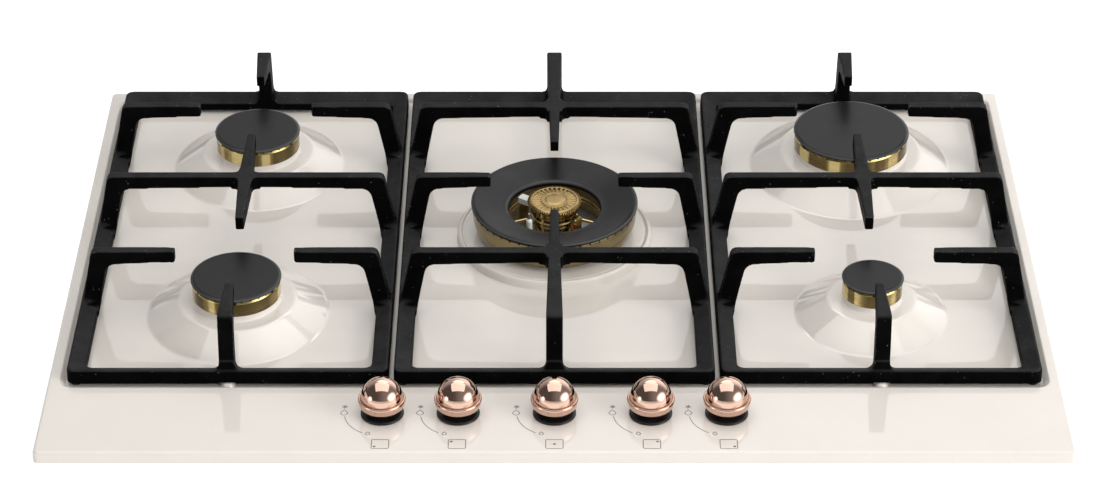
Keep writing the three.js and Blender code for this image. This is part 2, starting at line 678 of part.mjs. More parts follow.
function wokCup() {
  const flangeTop = wokPlinthTop - SHEET - FIT;
  const floor = -WOK_BOWL_DROP;
  const socket = around(WOK_CORE_SKIRT, LARGE_FACETS);
  const well = injectorWell(floor, socket - 1);
  const bowl = turned([
    [0, floor], [WOK_HOLE - 6, floor], [WOK_HOLE - 3, floor + 3], [WOK_HOLE - 3, flangeTop - 2],
    [WOK_HOLE + 4, flangeTop - 2], [WOK_HOLE + 4, flangeTop], [WOK_HOLE, flangeTop], [WOK_HOLE, wokSeat],
    [socket, wokSeat], [socket, wokSeat - 2.5], [WOK_HOLE - 6, flangeTop - 3.5],
    [WOK_HOLE - 6, floor + CUP_WALL + 1], [0, floor + CUP_WALL],
  ], LARGE_FACETS);
  const rods = [WOK_ROD_ANGLE, WOK_SENSOR_ANGLE].map((angle) =>
    bore(ROD_RADIUS, recessFloor - SHEET, wokSeat + 1, TINY_FACETS)
      .translate([...polar(WOK_ROD_CIRCLE, angle), 0]));
  return cut(bowl.add(well.outside), [well.inside, ...rods]);
}

// ---------------------------------------------------------------- knobs and valves

function knob() {
  const domeCentre = KNOB_HEIGHT - DOME_RADIUS;
  const dome = [6, 27, 48, 69].map((angle) => {
    const [r, z] = polar(DOME_RADIUS, angle);
    return [r, domeCentre + z];
  });
  return turned([
    [0, -STEM_DEPTH], [STEM_RADIUS, -STEM_DEPTH], [STEM_RADIUS, KNOB_LIFT], [BRIM_RADIUS - 4.5, KNOB_LIFT],
    [BRIM_RADIUS - 1.8, KNOB_LIFT + 2.2], [BRIM_RADIUS - 0.3, KNOB_LIFT + 5.6],
    [BRIM_RADIUS, BRIM_HEIGHT], ...dome, [0, KNOB_HEIGHT],
  ]);
}

function bezel() {
  const hole = around(STEM_RADIUS, MEDIUM_FACETS);
  return turned([
    [hole, FIT], [BEZEL_RADIUS, FIT], [BEZEL_RADIUS, FIT + 0.6], [BEZEL_RADIUS - 0.7, BEZEL_HEIGHT],
    [hole, BEZEL_HEIGHT],
  ]);
}

// The plug's cone, or with a clearance its seat in the valve.
function plugCone(widen, clearance, top) {
  const [wide, narrow] = [widen(PLUG_RADIUS), widen(PLUG_RADIUS - PLUG_TAPER)];
  const bottom = -PLUG_BOTTOM - clearance;
  return turned([[0, bottom], [narrow, bottom], [wide, -VALVE_TOP], [wide, top], [0, top]]);
}

function valvePlug() {
  const stemBore = bore(STEM_RADIUS, -STEM_DEPTH - KNOB_PUSH - 2, 0);
  return plugCone((r) => r, 0, -PLUG_TOP).subtract(stemBore);
}

function valveBody() {
  const casting = block(-VALVE_WIDTH / 2, -VALVE_FRONT, -VALVE_BOTTOM, VALVE_WIDTH / 2, VALVE_BACK, -VALVE_TOP);
  const neck = cylinder(NECK_RADIUS, -VALVE_TOP - 1, -SHEET - FIT);
  const saddle = bore(MANIFOLD_RADIUS, -VALVE_WIDTH, VALVE_WIDTH)
    .rotate([0, 90, 0]).translate([0, -MANIFOLD_SETBACK, -MANIFOLD_DROP]);
  return cut(casting.add(neck), [saddle, plugCone((r) => around(r, MEDIUM_FACETS), FIT, 1)]);
}

// ---------------------------------------------------------------- gas train

// A round bar along a path.
function tube(path, radius, steps, sides) {
  const circle = new THREE.Shape(
    Array.from({ length: sides }, (_, i) => new THREE.Vector2(...polar(radius, (360 * i) / sides))),
  );
  return solid(new THREE.ExtrudeGeometry(circle, { steps, extrudePath: path, bevelEnabled: false }));
}

// From the back of the valve, between the wells, to the boss on the front of the burner's well.
function gasTube(burner) {
  const start = [burner.knob, knobY + VALVE_BACK + FIT];
  const end = [burner.x, burner.y - bossFace - FIT];
  const straight = 22;
  const points = [start, [start[0], start[1] + straight], [end[0], end[1] - straight], end];
  const inward = end[1] > middleY ? [[(start[0] + end[0]) / 2, middleY - rowOffset / 2]] : [];
  points.splice(2, 0, ...inward);
  const route = points.map(([x, y]) => new THREE.Vector3(x, y, -TUBE_DROP));
  const path = new THREE.CatmullRomCurve3(route, false, 'centripetal');
  return tube(path, TUBE_RADIUS, burner === wok ? 1 : TUBE_STEPS, TUBE_SIDES);
}

function gasManifold() {
  const [side, z] = [manifoldSide, -MANIFOLD_DROP];
  const [cornerX, cornerY] = [side - MANIFOLD_BEND, manifoldY + MANIFOLD_BEND];
  const fittingBack = trayDepth / 2 + INLET_PROUD;
  const spot = (x, y) => new THREE.Vector3(x, y, z);
  const lap = 0.1; // the runs reach a little into the bend, so that they join
  const runs = [
    [new THREE.LineCurve3(spot(-KNOB_OUTER - VALVE_WIDTH, manifoldY), spot(cornerX + lap, manifoldY)), 1],
    [new THREE.QuadraticBezierCurve3(spot(cornerX, manifoldY), spot(side, manifoldY), spot(side, cornerY)), 6],
    [new THREE.LineCurve3(spot(side, cornerY - lap), spot(side, fittingBack - INLET_LENGTH + 1)), 1],
  ];
  const fitting = cylinder(INLET_RADIUS, 0, INLET_LENGTH).rotate([90, 0, 0]).translate([side, fittingBack, z]);
  return sum([...runs.map(([path, steps]) => tube(path, MANIFOLD_RADIUS, steps, SMALL_FACETS)), fitting]);
}

// ---------------------------------------------------------------- tray, seal, spark generator, clamps

function burnerBox() {
  const wall = (inset) => centred(trayWidth, trayDepth, inset, TRAY_CORNER);
  const shell = prism(wall(0), -TRAY_BOTTOM, -SHEET - FIT)
    .subtract(prism(wall(SHEET), -TRAY_BOTTOM + SHEET, 1));
  const cableHole = cylinder(CABLE_HOLE, 0, 20).rotate([90, 0, 0])
    .translate([CABLE_HOLE_X, trayDepth / 2 + 10, -MANIFOLD_DROP]);
  const inletHole = bore(INLET_RADIUS, 0, 20).rotate([90, 0, 0])
    .translate([manifoldSide, trayDepth / 2 + 10, -MANIFOLD_DROP]);
  return cut(shell, [recessSolid(SHEET + FIT, 1), cableHole, inletHole]);
}

function sealStrip() {
  const outer = centred(PLATE_WIDTH, PLATE_DEPTH, SHEET + FIT, PLATE_CORNER);
  const inner = centred(PLATE_WIDTH, PLATE_DEPTH, SHEET + FIT + SEAL_WIDTH, PLATE_CORNER);
  return prism(outer, -RIM_HEIGHT, -SHEET - FIT).subtract(prism(inner, -RIM_HEIGHT - 1, 0));
}

function sparkModule() {
  const { width, depth, height, setback } = SPARK_BOX;
  const back = trayDepth / 2 - setback;
  const bottom = -TRAY_BOTTOM + SHEET + FIT;
  const body = prism(rectangle(-width / 2, back - depth, width / 2, back, 3), bottom, bottom + height);
  const ears = block(-7, -7, bottom, width + 9, 7, bottom + 3)
    .translate([-width / 2 - 1, back - depth / 2, 0]);
  return body.add(ears);
}

// An angle that grips the worktop from below: upright on the tray's wall, foot outwards.
function clamp(side) {
  const { width, height, foot, sheet, drop } = CLAMP;
  const wall = trayWidth / 2 + FIT;
  const [top, bottom] = [-RIM_HEIGHT - drop, -RIM_HEIGHT - drop - height];
  const upright = block(wall, -width / 2, bottom, wall + sheet, width / 2, top);
  const flat = block(wall, -width / 2, bottom, wall + foot, width / 2, bottom + sheet);
  const bracket = upright.add(flat);
  return side > 0 ? bracket : bracket.rotate([0, 0, 180]);
}

// ---------------------------------------------------------------- assembly

place('top_plate', topPlate(), material.enamel);
place('burner_box', burnerBox(), material.galvanised);
place('seal_strip', sealStrip(), material.foam);

place('grate_left', sideGrate(), material.castIron, -gratePitch, middleY);
place('grate_centre', centreGrate(), material.castIron, 0, middleY);
place('grate_right', sideGrate(), material.castIron, gratePitch, middleY);

for (const burner of burners) {
  const { name, x, y } = burner;
  const [dx, dy] = polar(rodCircle(burner), ROD_ANGLE);
  place(`burner_cap_${name}`, burnerCap(burner), material.blackEnamel, x, y);
  place(`burner_crown_${name}`, burnerCrown(burner), material.brass, x, y);
  place(`burner_cup_${name}`, burnerCup(burner), material.aluminium, x, y);
  place(`spark_electrode_${name}`, rod(-SHEET, ledge + FIT, ROD_TOP), material.ceramic, x + dx, y + dy);
}

place('wok_ring_cap', wokRingCap(), material.blackEnamel, wok.x, wok.y);
place('wok_inner_cap', wokInnerCap(), material.brass, wok.x, wok.y);
place('wok_outer_crown', wokOuterCrown(), material.brass, wok.x, wok.y);
place('wok_inner_crown', wokInnerCrown(), material.brass, wok.x, wok.y);
place('burner_cup_wok', wokCup(), material.aluminium, wok.x, wok.y);
for (const [name, angle, look] of [
  ['spark_electrode_wok', WOK_ROD_ANGLE, material.ceramic],
  ['thermocouple_wok', WOK_SENSOR_ANGLE, material.copper],
]) {
  const [dx, dy] = polar(WOK_ROD_CIRCLE, angle);
  place(name, rod(recessFloor, wokSeat + FIT, WOK_ROD_TOP), look, wok.x + dx, wok.y + dy);
}

for (const burner of allBurners) {
  const { name, knob: x } = burner;
  place(`knob_${name}`, knob(), material.roseGold, x, knobY);
  place(`knob_bezel_${name}`, bezel(), material.blackPlastic, x, knobY);
  place(`valve_body_${name}`, valveBody(), material.aluminium, x, knobY);
  place(`valve_plug_${name}`, valvePlug(), material.brass, x, knobY);
  place(`gas_tube_${name}`, gasTube(burner), material.aluminium);
}

place('gas_manifold', gasManifold(), material.galvanised);
place('spark_module', sparkModule(), material.spark);
for (const [row, sy] of [['front', -1], ['back', 1]]) {
  for (const [column, sx] of [['left', -1], ['right', 1]]) {
    place(`clamp_${row}_${column}`, clamp(sx), material.galvanised, 0, sy * CLAMP.row);
  }
}

cooktop.position.z = TRAY_BOTTOM; // the tray's flat bottom stands at zero

export default cooktop;
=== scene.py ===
"""Looks of the gas cooktop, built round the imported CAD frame.

Lengths in the shape functions are millimetres, with heights above the plate's flat panel.
Angles are degrees, anticlockwise from the right as seen from above. Stage and lamps are in metres.
"""

import json
import math

import bpy
from mathutils import Matrix, Vector


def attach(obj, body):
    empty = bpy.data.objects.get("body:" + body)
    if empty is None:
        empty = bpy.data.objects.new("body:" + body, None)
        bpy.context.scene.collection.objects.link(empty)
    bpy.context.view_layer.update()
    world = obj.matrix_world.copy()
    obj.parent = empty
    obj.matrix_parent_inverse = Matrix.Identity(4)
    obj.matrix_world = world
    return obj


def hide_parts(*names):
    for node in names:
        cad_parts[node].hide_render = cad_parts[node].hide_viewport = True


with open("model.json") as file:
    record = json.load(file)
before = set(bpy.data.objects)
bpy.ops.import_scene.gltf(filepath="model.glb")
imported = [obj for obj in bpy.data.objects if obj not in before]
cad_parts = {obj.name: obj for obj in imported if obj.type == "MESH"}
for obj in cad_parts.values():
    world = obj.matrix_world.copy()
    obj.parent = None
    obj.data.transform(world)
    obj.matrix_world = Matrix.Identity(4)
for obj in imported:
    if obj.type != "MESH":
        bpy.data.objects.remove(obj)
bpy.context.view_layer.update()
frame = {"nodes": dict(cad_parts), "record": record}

MM = 0.001
LIFT = 55.0  # the panel's height above the frame's zero, the tray's underside

# ---------------- sizes shared with the solids

PLATE_W, PLATE_D, PLATE_CORNER, RIM, RIM_ROUND, SHEET = 750.0, 510.0, 4.0, 9.0, 2.2, 1.2
RECESS = {"left": -366.0, "right": 366.0, "front": -173.5, "back": 246.0}
RECESS_FLOOR, RECESS_CORNER = -4.0, 11.0
MIDDLE_Y = (RECESS["front"] + RECESS["back"]) / 2
GRATE_W, GRATE_D = 238.467, 409.9
PITCH = GRATE_W + 3.5  # from grate to grate
ROW = 107.517  # burner rows from the middle
BUMP_SETBACK = 2.4
LEDGE = 10.4  # height of the flat ring on top of a cone
CONE_LEDGE, CONE_RUN = 11.0, 24.2  # widths of that ring and of the flank
CROWN_BOTTOM, CROWN_TOP = 15.6, 28.4
LIP_INSET, LIP_WALL = 3.0, 2.2  # of a cup's lip inside its crown
ROD_ANGLE = 65.0
KNOB_Y = -206.7
WOK_SEAT, WOK_FOOT, WOK_TOP = 2.8, 3.1, 28.0  # cup's seat, crowns' underside, bowl's rim
WOK_ROD_RADIUS = 27
EYE = 36.5  # radius of the opening in the ring cap
BURNERS = {  # x, y, crown radius, x of its knob
    "front_left": (-PITCH, MIDDLE_Y - ROW, 33.7, -125.6),
    "back_left": (-PITCH, MIDDLE_Y + ROW, 33.7, -70.2),
    "back_right": (PITCH, MIDDLE_Y + ROW, 46.0, 70.2),
    "front_right": (PITCH, MIDDLE_Y - ROW, 22.8, 125.6),
}
WOK = (0.0, MIDDLE_Y)
WOK_RODS = {  # angle, look, look of the tip, slot, top
    "spark_electrode_wok": (223, "ceramic", "steel", "ceramic", 29.6),
    "thermocouple_wok": (306, "aluminium", "copper", "copper", 22.5),
}
KNOBS = {**{name: values[3] for name, values in BURNERS.items()}, "wok": 0.0}


def polar(radius, degrees, x=0.0, y=0.0):
    """The point this far from (x, y)."""
    a = math.radians(degrees)
    return x + radius * math.cos(a), y + radius * math.sin(a)


# ---------------- materials

def linear(*srgb):
    """sRGB 0..255 as Blender's linear colour."""
    out = []
    for value in srgb:
        c = value / 255
        out.append(c / 12.92 if c <= 0.04045 else ((c + 0.055) / 1.055) ** 2.4)
    return (*out, 1.0)


def levels(tree, value, low, high, out_low, out_high, kind="LINEAR"):
    """A value's span from low to high carried over to another span, clamped at its ends."""
    node = tree.nodes.new("ShaderNodeMapRange")
    node.interpolation_type = kind
    for socket, number in zip(("From Min", "From Max", "To Min", "To Max"), (low, high, out_low, out_high)):
        node.inputs[socket].default_value = number
    tree.links.new(value, node.inputs["Value"])
    return node.outputs["Result"]


def feed(tree, sockets, values):
    """Gives each socket its value: another node's output, a number or a colour."""
    for socket, value in zip(sockets, values):
        if hasattr(value, "is_output"):
            tree.links.new(value, socket)
        else:
            socket.default_value = value


def arithmetic(tree, operation, *values):
    node = tree.nodes.new("ShaderNodeMath")
    node.operation = operation
    feed(tree, node.inputs, values)
    return node.outputs[0]


class Look:
    """A principled material with object-space noise helpers."""

    def __init__(self, name, **constants):
        self.material = bpy.data.materials.new(name)
        self.material.use_nodes = True
        self.tree = self.material.node_tree
        self.nodes = self.tree.nodes
        self.shader = self.nodes["Principled BSDF"]
        for socket, value in constants.items():
            self.shader.inputs[socket.replace("_", " ")].default_value = value
        self.place = self.nodes.new("ShaderNodeTexCoord").outputs["Object"]

    def link(self, a, b):
        self.tree.links.new(a, b)

    def noise(self, scale, detail=4.0, roughness=0.55, stretch=None):
        node = self.nodes.new("ShaderNodeTexNoise")
        node.inputs["Scale"].default_value = scale
        node.inputs["Detail"].default_value = detail
        node.inputs["Roughness"].default_value = roughness
        source = self.place
        if stretch:
            mapping = self.nodes.new("ShaderNodeMapping")
            mapping.inputs["Scale"].default_value = stretch
            self.link(self.place, mapping.inputs["Vector"])
            source = mapping.outputs["Vector"]
        self.link(source, node.inputs["Vector"])
        return node.outputs["Fac"]

    def ramp(self, factor, stops):
        node = self.nodes.new("ShaderNodeValToRGB")
        elements = node.color_ramp.elements
        elements[0].position, elements[0].color = stops[0]
        elements[1].position, elements[1].color = stops[-1]
        for position, colour in stops[1:-1]:
            elements.new(position).color = colour
        self.link(factor, node.inputs["Fac"])
        return node.outputs["Color"]

    def levels(self, factor, *spans):
        return levels(self.tree, factor, *spans)

    def math(self, operation, *values):
        return arithmetic(self.tree, operation, *values)

    def voronoi(self, scale, output):
        node = self.nodes.new("ShaderNodeTexVoronoi")
        node.inputs["Scale"].default_value = scale
        self.link(self.place, node.inputs["Vector"])
        return node.outputs[output]

    def mix(self, factor, a, b):
        node = self.nodes.new("ShaderNodeMix")
        node.data_type = "RGBA"
        feed(self.tree, [s for s in node.inputs if s.type == "RGBA"], (a, b))
        self.link(factor, node.inputs[0])
        return [s for s in node.outputs if s.type == "RGBA"][0]

    def bump(self, *layers):
        """Each layer is (height socket, distance in metres)."""
        normal = None
        for height, distance in layers:
            node = self.nodes.new("ShaderNodeBump")
            node.inputs["Strength"].default_value = 1.0
            node.inputs["Distance"].default_value = distance
            self.link(height, node.inputs["Height"])
            if normal:
                self.link(normal, node.inputs["Normal"])
            normal = node.outputs["Normal"]
        self.link(normal, self.shader.inputs["Normal"])
        return self

    def colour(self, socket):
        self.link(socket, self.shader.inputs["Base Color"])
        return self

    def rough(self, socket):
        self.link(socket, self.shader.inputs["Roughness"])
        return self


def shade(colour, factor):
    return (*[min(1.0, c * factor) for c in colour[:3]], 1.0)


def speckled(look, colour, spread, scale):
    """Base colour that wanders a little either way."""
    stops = [(0.3, shade(colour, 1 - spread)), (0.7, shade(colour, 1 + spread))]
    return look.colour(look.ramp(look.noise(scale), stops))


def smudged(look, scale, low, high, detail=4.0):
    """Roughness that wanders between low and high."""
    return look.rough(look.levels(look.noise(scale, detail), 0.3, 0.7, low, high))


def facing_up(look, low, high):
    """1 where a face looks up more steeply than high, 0 below low."""
    split = look.nodes.new("ShaderNodeSeparateXYZ")
    look.link(look.nodes.new("ShaderNodeNewGeometry").outputs["Normal"], split.inputs[0])
    return look.levels(split.outputs["Z"], low, high, 0.0, 1.0)


def make_enamel():
    look = Look("enamel", IOR=1.75)
    speckled(look, linear(225, 218, 210), 0.012, 30)
    smudged(look, 60, 0.01, 0.03)
    return look.bump((look.noise(240, 2), 0.0000015), (look.noise(25, 2), 0.000006)).material


def make_cast_iron():
    """Black enamelled iron with pale specks: painted shade keeps its sides near black, painted light makes its tops
    grey, and painted highlights lighten the arrises and the folds.
    """
    look = Look("cast_iron", Specular_IOR_Level=0.016)
    cloud = look.noise(70, 4, 0.6)
    # painted shade on the sides and painted light on the tops, mixed by how steeply a face looks up
    sides = look.ramp(cloud, [(0.3, (0.0012, 0.0012, 0.0012, 1)), (0.7, (0.0028, 0.0028, 0.0028, 1))])
    lit_tops = look.ramp(cloud, [(0.3, (0.019, 0.019, 0.0193, 1)), (0.7, (0.031, 0.031, 0.0315, 1))])
    pointiness = look.nodes.new("ShaderNodeNewGeometry").outputs["Pointiness"]
    body = look.mix(facing_up(look, 0.35, 0.85), sides, lit_tops)
    # painted highlights: pointiness lightens the arrises and the folds between legs and rails, broken up by noise
    highlight_breakup = look.levels(look.noise(420, 3), 0.42, 0.62, 0.1, 1.0)
    for sharp, full_highlight in ((0.53, 0.58), (0.475, 0.44)):  # arrises, then the folds between legs and rails
        edge = look.levels(pointiness, sharp, full_highlight, 0.0, 0.7)
        body = look.mix(look.math("MULTIPLY", edge, highlight_breakup), body, (0.1, 0.1, 0.1, 1))
    speck = look.math("MULTIPLY", look.levels(look.noise(150, 2), 0.60, 0.66, 0.0, 1.0),
                      look.levels(look.voronoi(430, "Distance"), 0.10, 0.17, 1.0, 0.0))
    look.colour(look.mix(speck, body, (0.22, 0.22, 0.215, 1)))
    look.rough(look.levels(cloud, 0.3, 0.7, 0.40, 0.54))
    return look.bump((look.noise(900, 3, 0.6), 0.00016), (look.noise(260, 3), 0.0003)).material


def make_cap_enamel():
    """Matt black enamel, with painted highlight on its rounded edges where they face up and painted shade where they
    face sideways.
    """
    look = Look("cap_enamel", Specular_IOR_Level=0.2)
    face = look.ramp(look.noise(120), [(0.3, linear(17, 17, 18)), (0.7, linear(20, 20, 21))])
    # painted highlight and shade: the rounding is grey where it faces up and darker than the top where it faces
    # sideways
    edge = look.mix(facing_up(look, 0.25, 0.55), linear(12, 12, 12), linear(70, 70, 71))
    look.colour(look.mix(facing_up(look, 0.86, 0.96), edge, face))
    smudged(look, 90, 0.28, 0.36)
    return look.bump((look.noise(1400, 2), 0.00003), (look.noise(300, 2), 0.00003)).material


def make_crown_brass():
    """Polished brass with painted reflection: bright brass on the bevel, and on the wall a painted dark reflection
    with upright bright streaks.
    """
    look = Look("brass", Metallic=1.0)
    # painted reflection: dark wall with bright upright streaks, standing in for mirrored surroundings
    reflection_streaks = look.noise(52, 2, 0.4, stretch=(1, 1, 0.02))
    wall = look.ramp(reflection_streaks, [(0.44, linear(104, 90, 60)), (0.52, linear(150, 132, 86)),
                               (0.56, linear(222, 204, 146)), (0.68, linear(226, 208, 150)),
                               (0.71, linear(122, 106, 70))])
    look.colour(look.mix(facing_up(look, 0.15, 0.35), wall, linear(196, 178, 120)))
    smudged(look, 80, 0.10, 0.16, 5)
    return look.bump((look.noise(1500, 3), 0.000004)).material


def make_metal(name, colour, low, high, spread=0.04, grain=1500, depth=0.000004):
    look = Look(name, Metallic=1.0)
    speckled(look, colour, spread, 50)
    smudged(look, 80, low, high, 5)
    return look.bump((look.noise(grain, 3), depth)).material


def make_plain(name, colour, low, high, spread=0.05, depth=0.00002, level=0.5):
    look = Look(name, Specular_IOR_Level=level)
    speckled(look, colour, spread, 60)
    smudged(look, 120, low, high)
    return look.bump((look.noise(700, 3), depth)).material


def make_galvanised():
    """Zinc-coated sheet with its spangle."""
    look = Look("steel", Metallic=1.0)
    grey = look.nodes.new("ShaderNodeRGBToBW")
    look.link(look.voronoi(70, "Color"), grey.inputs["Color"])
    look.colour(look.ramp(grey.outputs["Val"], [(0.0, linear(158, 161, 163)), (1.0, linear(184, 187, 189))]))
    look.rough(look.levels(grey.outputs["Val"], 0.0, 1.0, 0.34, 0.5))
    return look.bump((look.noise(500, 3), 0.00001)).material


MATERIALS = {
    "enamel": make_enamel(),
    "cast_iron": make_cast_iron(),
    "cap_enamel": make_cap_enamel(),
    "brass": make_crown_brass(),
    # painted shade: the bowl's brass is a darker copy, standing in for the dark surroundings it mirrors
    "bowl_brass": make_metal("bowl_brass", linear(142, 128, 94), 0.16, 0.24, spread=0.09),
    "aged_brass": make_metal("aged_brass", linear(162, 138, 92), 0.2, 0.32, spread=0.12, grain=600, depth=0.00003),
    "core_brass": make_metal("core_brass", linear(190, 170, 122), 0.10, 0.18, spread=0.08),
    "rose_gold": make_metal("rose_gold", linear(216, 182, 164), 0.06, 0.10, spread=0.015),
    "black_plastic": make_plain("black_plastic", linear(18, 18, 19), 0.28, 0.4),
    "aluminium": make_metal("aluminium", linear(176, 178, 180), 0.3, 0.45, grain=900, depth=0.00002),
    "steel": make_galvanised(),
    "copper": make_metal("copper", linear(200, 120, 60), 0.2, 0.3),
    "ceramic": make_plain("ceramic", linear(224, 224, 220), 0.22, 0.34, spread=0.02),
    "foam": make_plain("foam", linear(52, 53, 54), 0.8, 0.95, depth=0.0004, level=0.2),
    "module_plastic": make_plain("module_plastic", linear(38, 40, 43), 0.45, 0.6),
    "print": make_plain("print", linear(92, 92, 91), 0.3, 0.4, spread=0.03),
    "rubber": make_plain("rubber", linear(30, 30, 31), 0.6, 0.8, level=0.3),
}

# ---------------- mesh helpers

def soft(corners, steps=6, closed=True):
    """Outline points; a corner (x, y, r) is rounded over r along both sides."""
    points = []
    count = len(corners)
    for i, here in enumerate(corners):
        at = Vector(here[:2])
        radius = here[2] if len(here) > 2 else 0
        if radius == 0 or (not closed and i in (0, count - 1)):
            points.append(at)
            continue
        before = Vector(corners[i - 1][:2])
        after = Vector(corners[(i + 1) % count][:2])
        start = at + (before - at).normalized() * radius
        end = at + (after - at).normalized() * radius
        for k in range(steps + 1):
            t = k / steps
            points.append(start * (1 - t) ** 2 + at * 2 * t * (1 - t) + end * t * t)
    return points


def rectangle(left, front, right, back, radius=0.0, steps=8):
    corners = ((left, front), (right, front), (right, back), (left, back))
    return soft([(x, y, radius) for x, y in corners], steps)


def centred(width, depth, inset, radius):
    return rectangle(-width / 2 + inset, -depth / 2 + inset, width / 2 - inset, depth / 2 - inset, radius)


def lathe(profile, segments, x=0.0, y=0.0):
    """A closed profile of (radius, height) turned about the vertical through (x, y)."""
    points = [Vector(p[:2]) for p in profile]
    kept = [p for i, p in enumerate(points) if (p - points[i - 1]).length > 1e-5]
    area = sum(a.x * b.y - b.x * a.y for a, b in zip(kept, kept[1:] + kept[:1]))
    if area < 0:
        kept.reverse()
    verts, rings = [], []
    for p in kept:
        if p.x < 1e-6:
            rings.append([len(verts)] * segments)
            verts.append((x, y, p.y))
            continue
        rings.append(list(range(len(verts), len(verts) + segments)))
        verts += [(*polar(p.x, 360 * k / segments, x, y), p.y) for k in range(segments)]
    faces = []
    for i, ring in enumerate(rings):
        following = rings[(i + 1) % len(rings)]
        if ring[0] == ring[1] and following[0] == following[1]:
            continue
        for k in range(segments):
            m = (k + 1) % segments
            face = []
            for v in (ring[k], ring[m], following[m], following[k]):
                if v not in face:
                    face.append(v)
            faces.append(face)
    return verts, faces


def cylinder(radius, bottom, top, segments, x=0.0, y=0.0):
    return lathe([(0, bottom), (radius, bottom), (radius, top), (0, top)], segments, x, y)


def skinned(verts, count):
    """A solid over rings of count points that follow one another in verts."""
    faces = []
    for start in range(0, len(verts) - count, count):
        for i in range(count):
            a, b = start + i, start + (i + 1) % count
            faces.append([a, b, b + count, a + count])
    faces.append(list(range(count))[::-1])
    faces.append([len(verts) - count + i for i in range(count)])
    return verts, faces


def loft(sections):
    """A solid through (height, outline) sections with equal numbers of points, anticlockwise, rising."""
    return skinned([(p.x, p.y, z) for z, points in sections for p in points], len(sections[0][1]))


def prism(points, bottom, top):
    return loft([(bottom, points), (top, points)])


def standing(points, width_at):
    """An outline in X and Z thickened along Y; the width may change along it."""
    return skinned([(p.x, sy * width_at(p.x, p.y), p.y) for sy in (-0.5, 0.5) for p in points], len(points))


def tube(path, radius, sides=16):
    """A round bar through 3-D points, with flat ends."""
    points = [Vector(p) for p in path]
    verts = []
    side = None
    for i, p in enumerate(points):
        ahead = (points[min(i + 1, len(points) - 1)] - points[max(i - 1, 0)]).normalized()
        if side is None:
            side = ahead.orthogonal().normalized()
        side = (side - ahead * side.dot(ahead)).normalized()
        up = ahead.cross(side)
        r = radius[i] if isinstance(radius, (list, tuple)) else radius
        for k in range(sides):
            a = 2 * math.pi * k / sides
            verts.append(tuple(p + (side * math.cos(a) + up * math.sin(a)) * r))
    return skinned(verts, sides)


def moved(shape, matrix):
    return [tuple(matrix @ Vector(v)) for v in shape[0]], shape[1]


def rotation(degrees, axis):
    return Matrix.Rotation(math.radians(degrees), 4, axis)


def shifted(shape, x=0.0, y=0.0, z=0.0):
    return moved(shape, Matrix.Translation((x, y, z)))


def spun(shape, degrees, axis="Z"):
    return moved(shape, rotation(degrees, axis))


def around(shape, count, x, y, start=0.0):
    """Copies of a shape turned evenly about the vertical through (x, y)."""
    return joined(*[shifted(spun(shape, 360 * (k + start) / count), x, y) for k in range(count)])


def joined(*shapes):
    verts, faces = [], []
    for shape_verts, shape_faces in shapes:
        start = len(verts)
        verts += shape_verts
        faces += [[i + start for i in f] for f in shape_faces]
    return verts, faces


def mesh_object(name, verts, faces):
    """An object in the frame's metres."""
    mesh = bpy.data.meshes.new(name)
    mesh.from_pydata(verts, [], faces)
    mesh.validate()
    mesh.update()
    obj = bpy.data.objects.new(name, mesh)
    bpy.context.collection.objects.link(obj)
    return obj


def in_frame(verts):
    """Millimetres above the panel as the frame's metres."""
    return [(x * MM, y * MM, (z + LIFT) * MM) for x, y, z in verts]


def raw(name, shape):
    return mesh_object(name, in_frame(shape[0]), shape[1])


def apply_modifiers(obj):
    graph = bpy.context.evaluated_depsgraph_get()
    mesh = bpy.data.meshes.new_from_object(obj.evaluated_get(graph))
    old = obj.data
    obj.modifiers.clear()
    obj.data = mesh
    bpy.data.meshes.remove(old)


def combine(obj, tool, operation="DIFFERENCE"):
    """Cuts the tool object from obj, or adds it, and deletes it."""
    modifier = obj.modifiers.new("boolean", "BOOLEAN")
    modifier.operation, modifier.solver, modifier.object = operation, "MANIFOLD", tool
    apply_modifiers(obj)
    bpy.data.objects.remove(tool)


def boolean(obj, shape, operation="DIFFERENCE"):
    combine(obj, raw("tool", shape), operation)


def finished(obj, look, body, nodes=(), angle=32, weighted=True):
    """Shades a piece, gives it its material and body, and hides the nodes it stands for."""
    mesh = obj.data
    mesh.materials.clear()
    mesh.materials.append(MATERIALS[look])
    mesh.shade_smooth()
    mesh.set_sharp_from_angle(angle=math.radians(angle))
    if weighted:
        obj.modifiers.new("normals", "WEIGHTED_NORMAL").keep_sharp = True
    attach(obj, body)
    if nodes:
        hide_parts(*nodes)


def piece(name, shape, look, body, nodes=(), angle=32):
    finished(raw(name, shape), look, body, nodes, angle)


# ---------------- enamelled plate

CUP_HOLE_INSET, WOK_HOLE, ROD_HOLE, KNOB_HOLE = 2.7, 50.3, 2.9, 3.6  # the first is measured in from the crown
SUNK, ROOT = -4.02, -4.6  # just under the recess's floor, and the foot of what stands on it


def recess_solid(growth, top):
    """Recess with softened walls; a positive growth gives the underside of the sheet."""
    toe, wall, steps = 3.7, 5.0, 10
    walls = []
    for k in range(steps + 1):
        t = k / steps
        height = RECESS_FLOOR - growth - RECESS_FLOOR * (0.5 - 0.5 * math.cos(math.pi * t)) + growth * t
        walls.append((height, toe - growth - wall * t))
    walls.append((top, walls[-1][1]))
    return loft([(z, rectangle(RECESS["left"] + inset, RECESS["front"] + inset, RECESS["right"] - inset,
                               RECESS["back"] - inset, RECESS_CORNER)) for z, inset in walls])


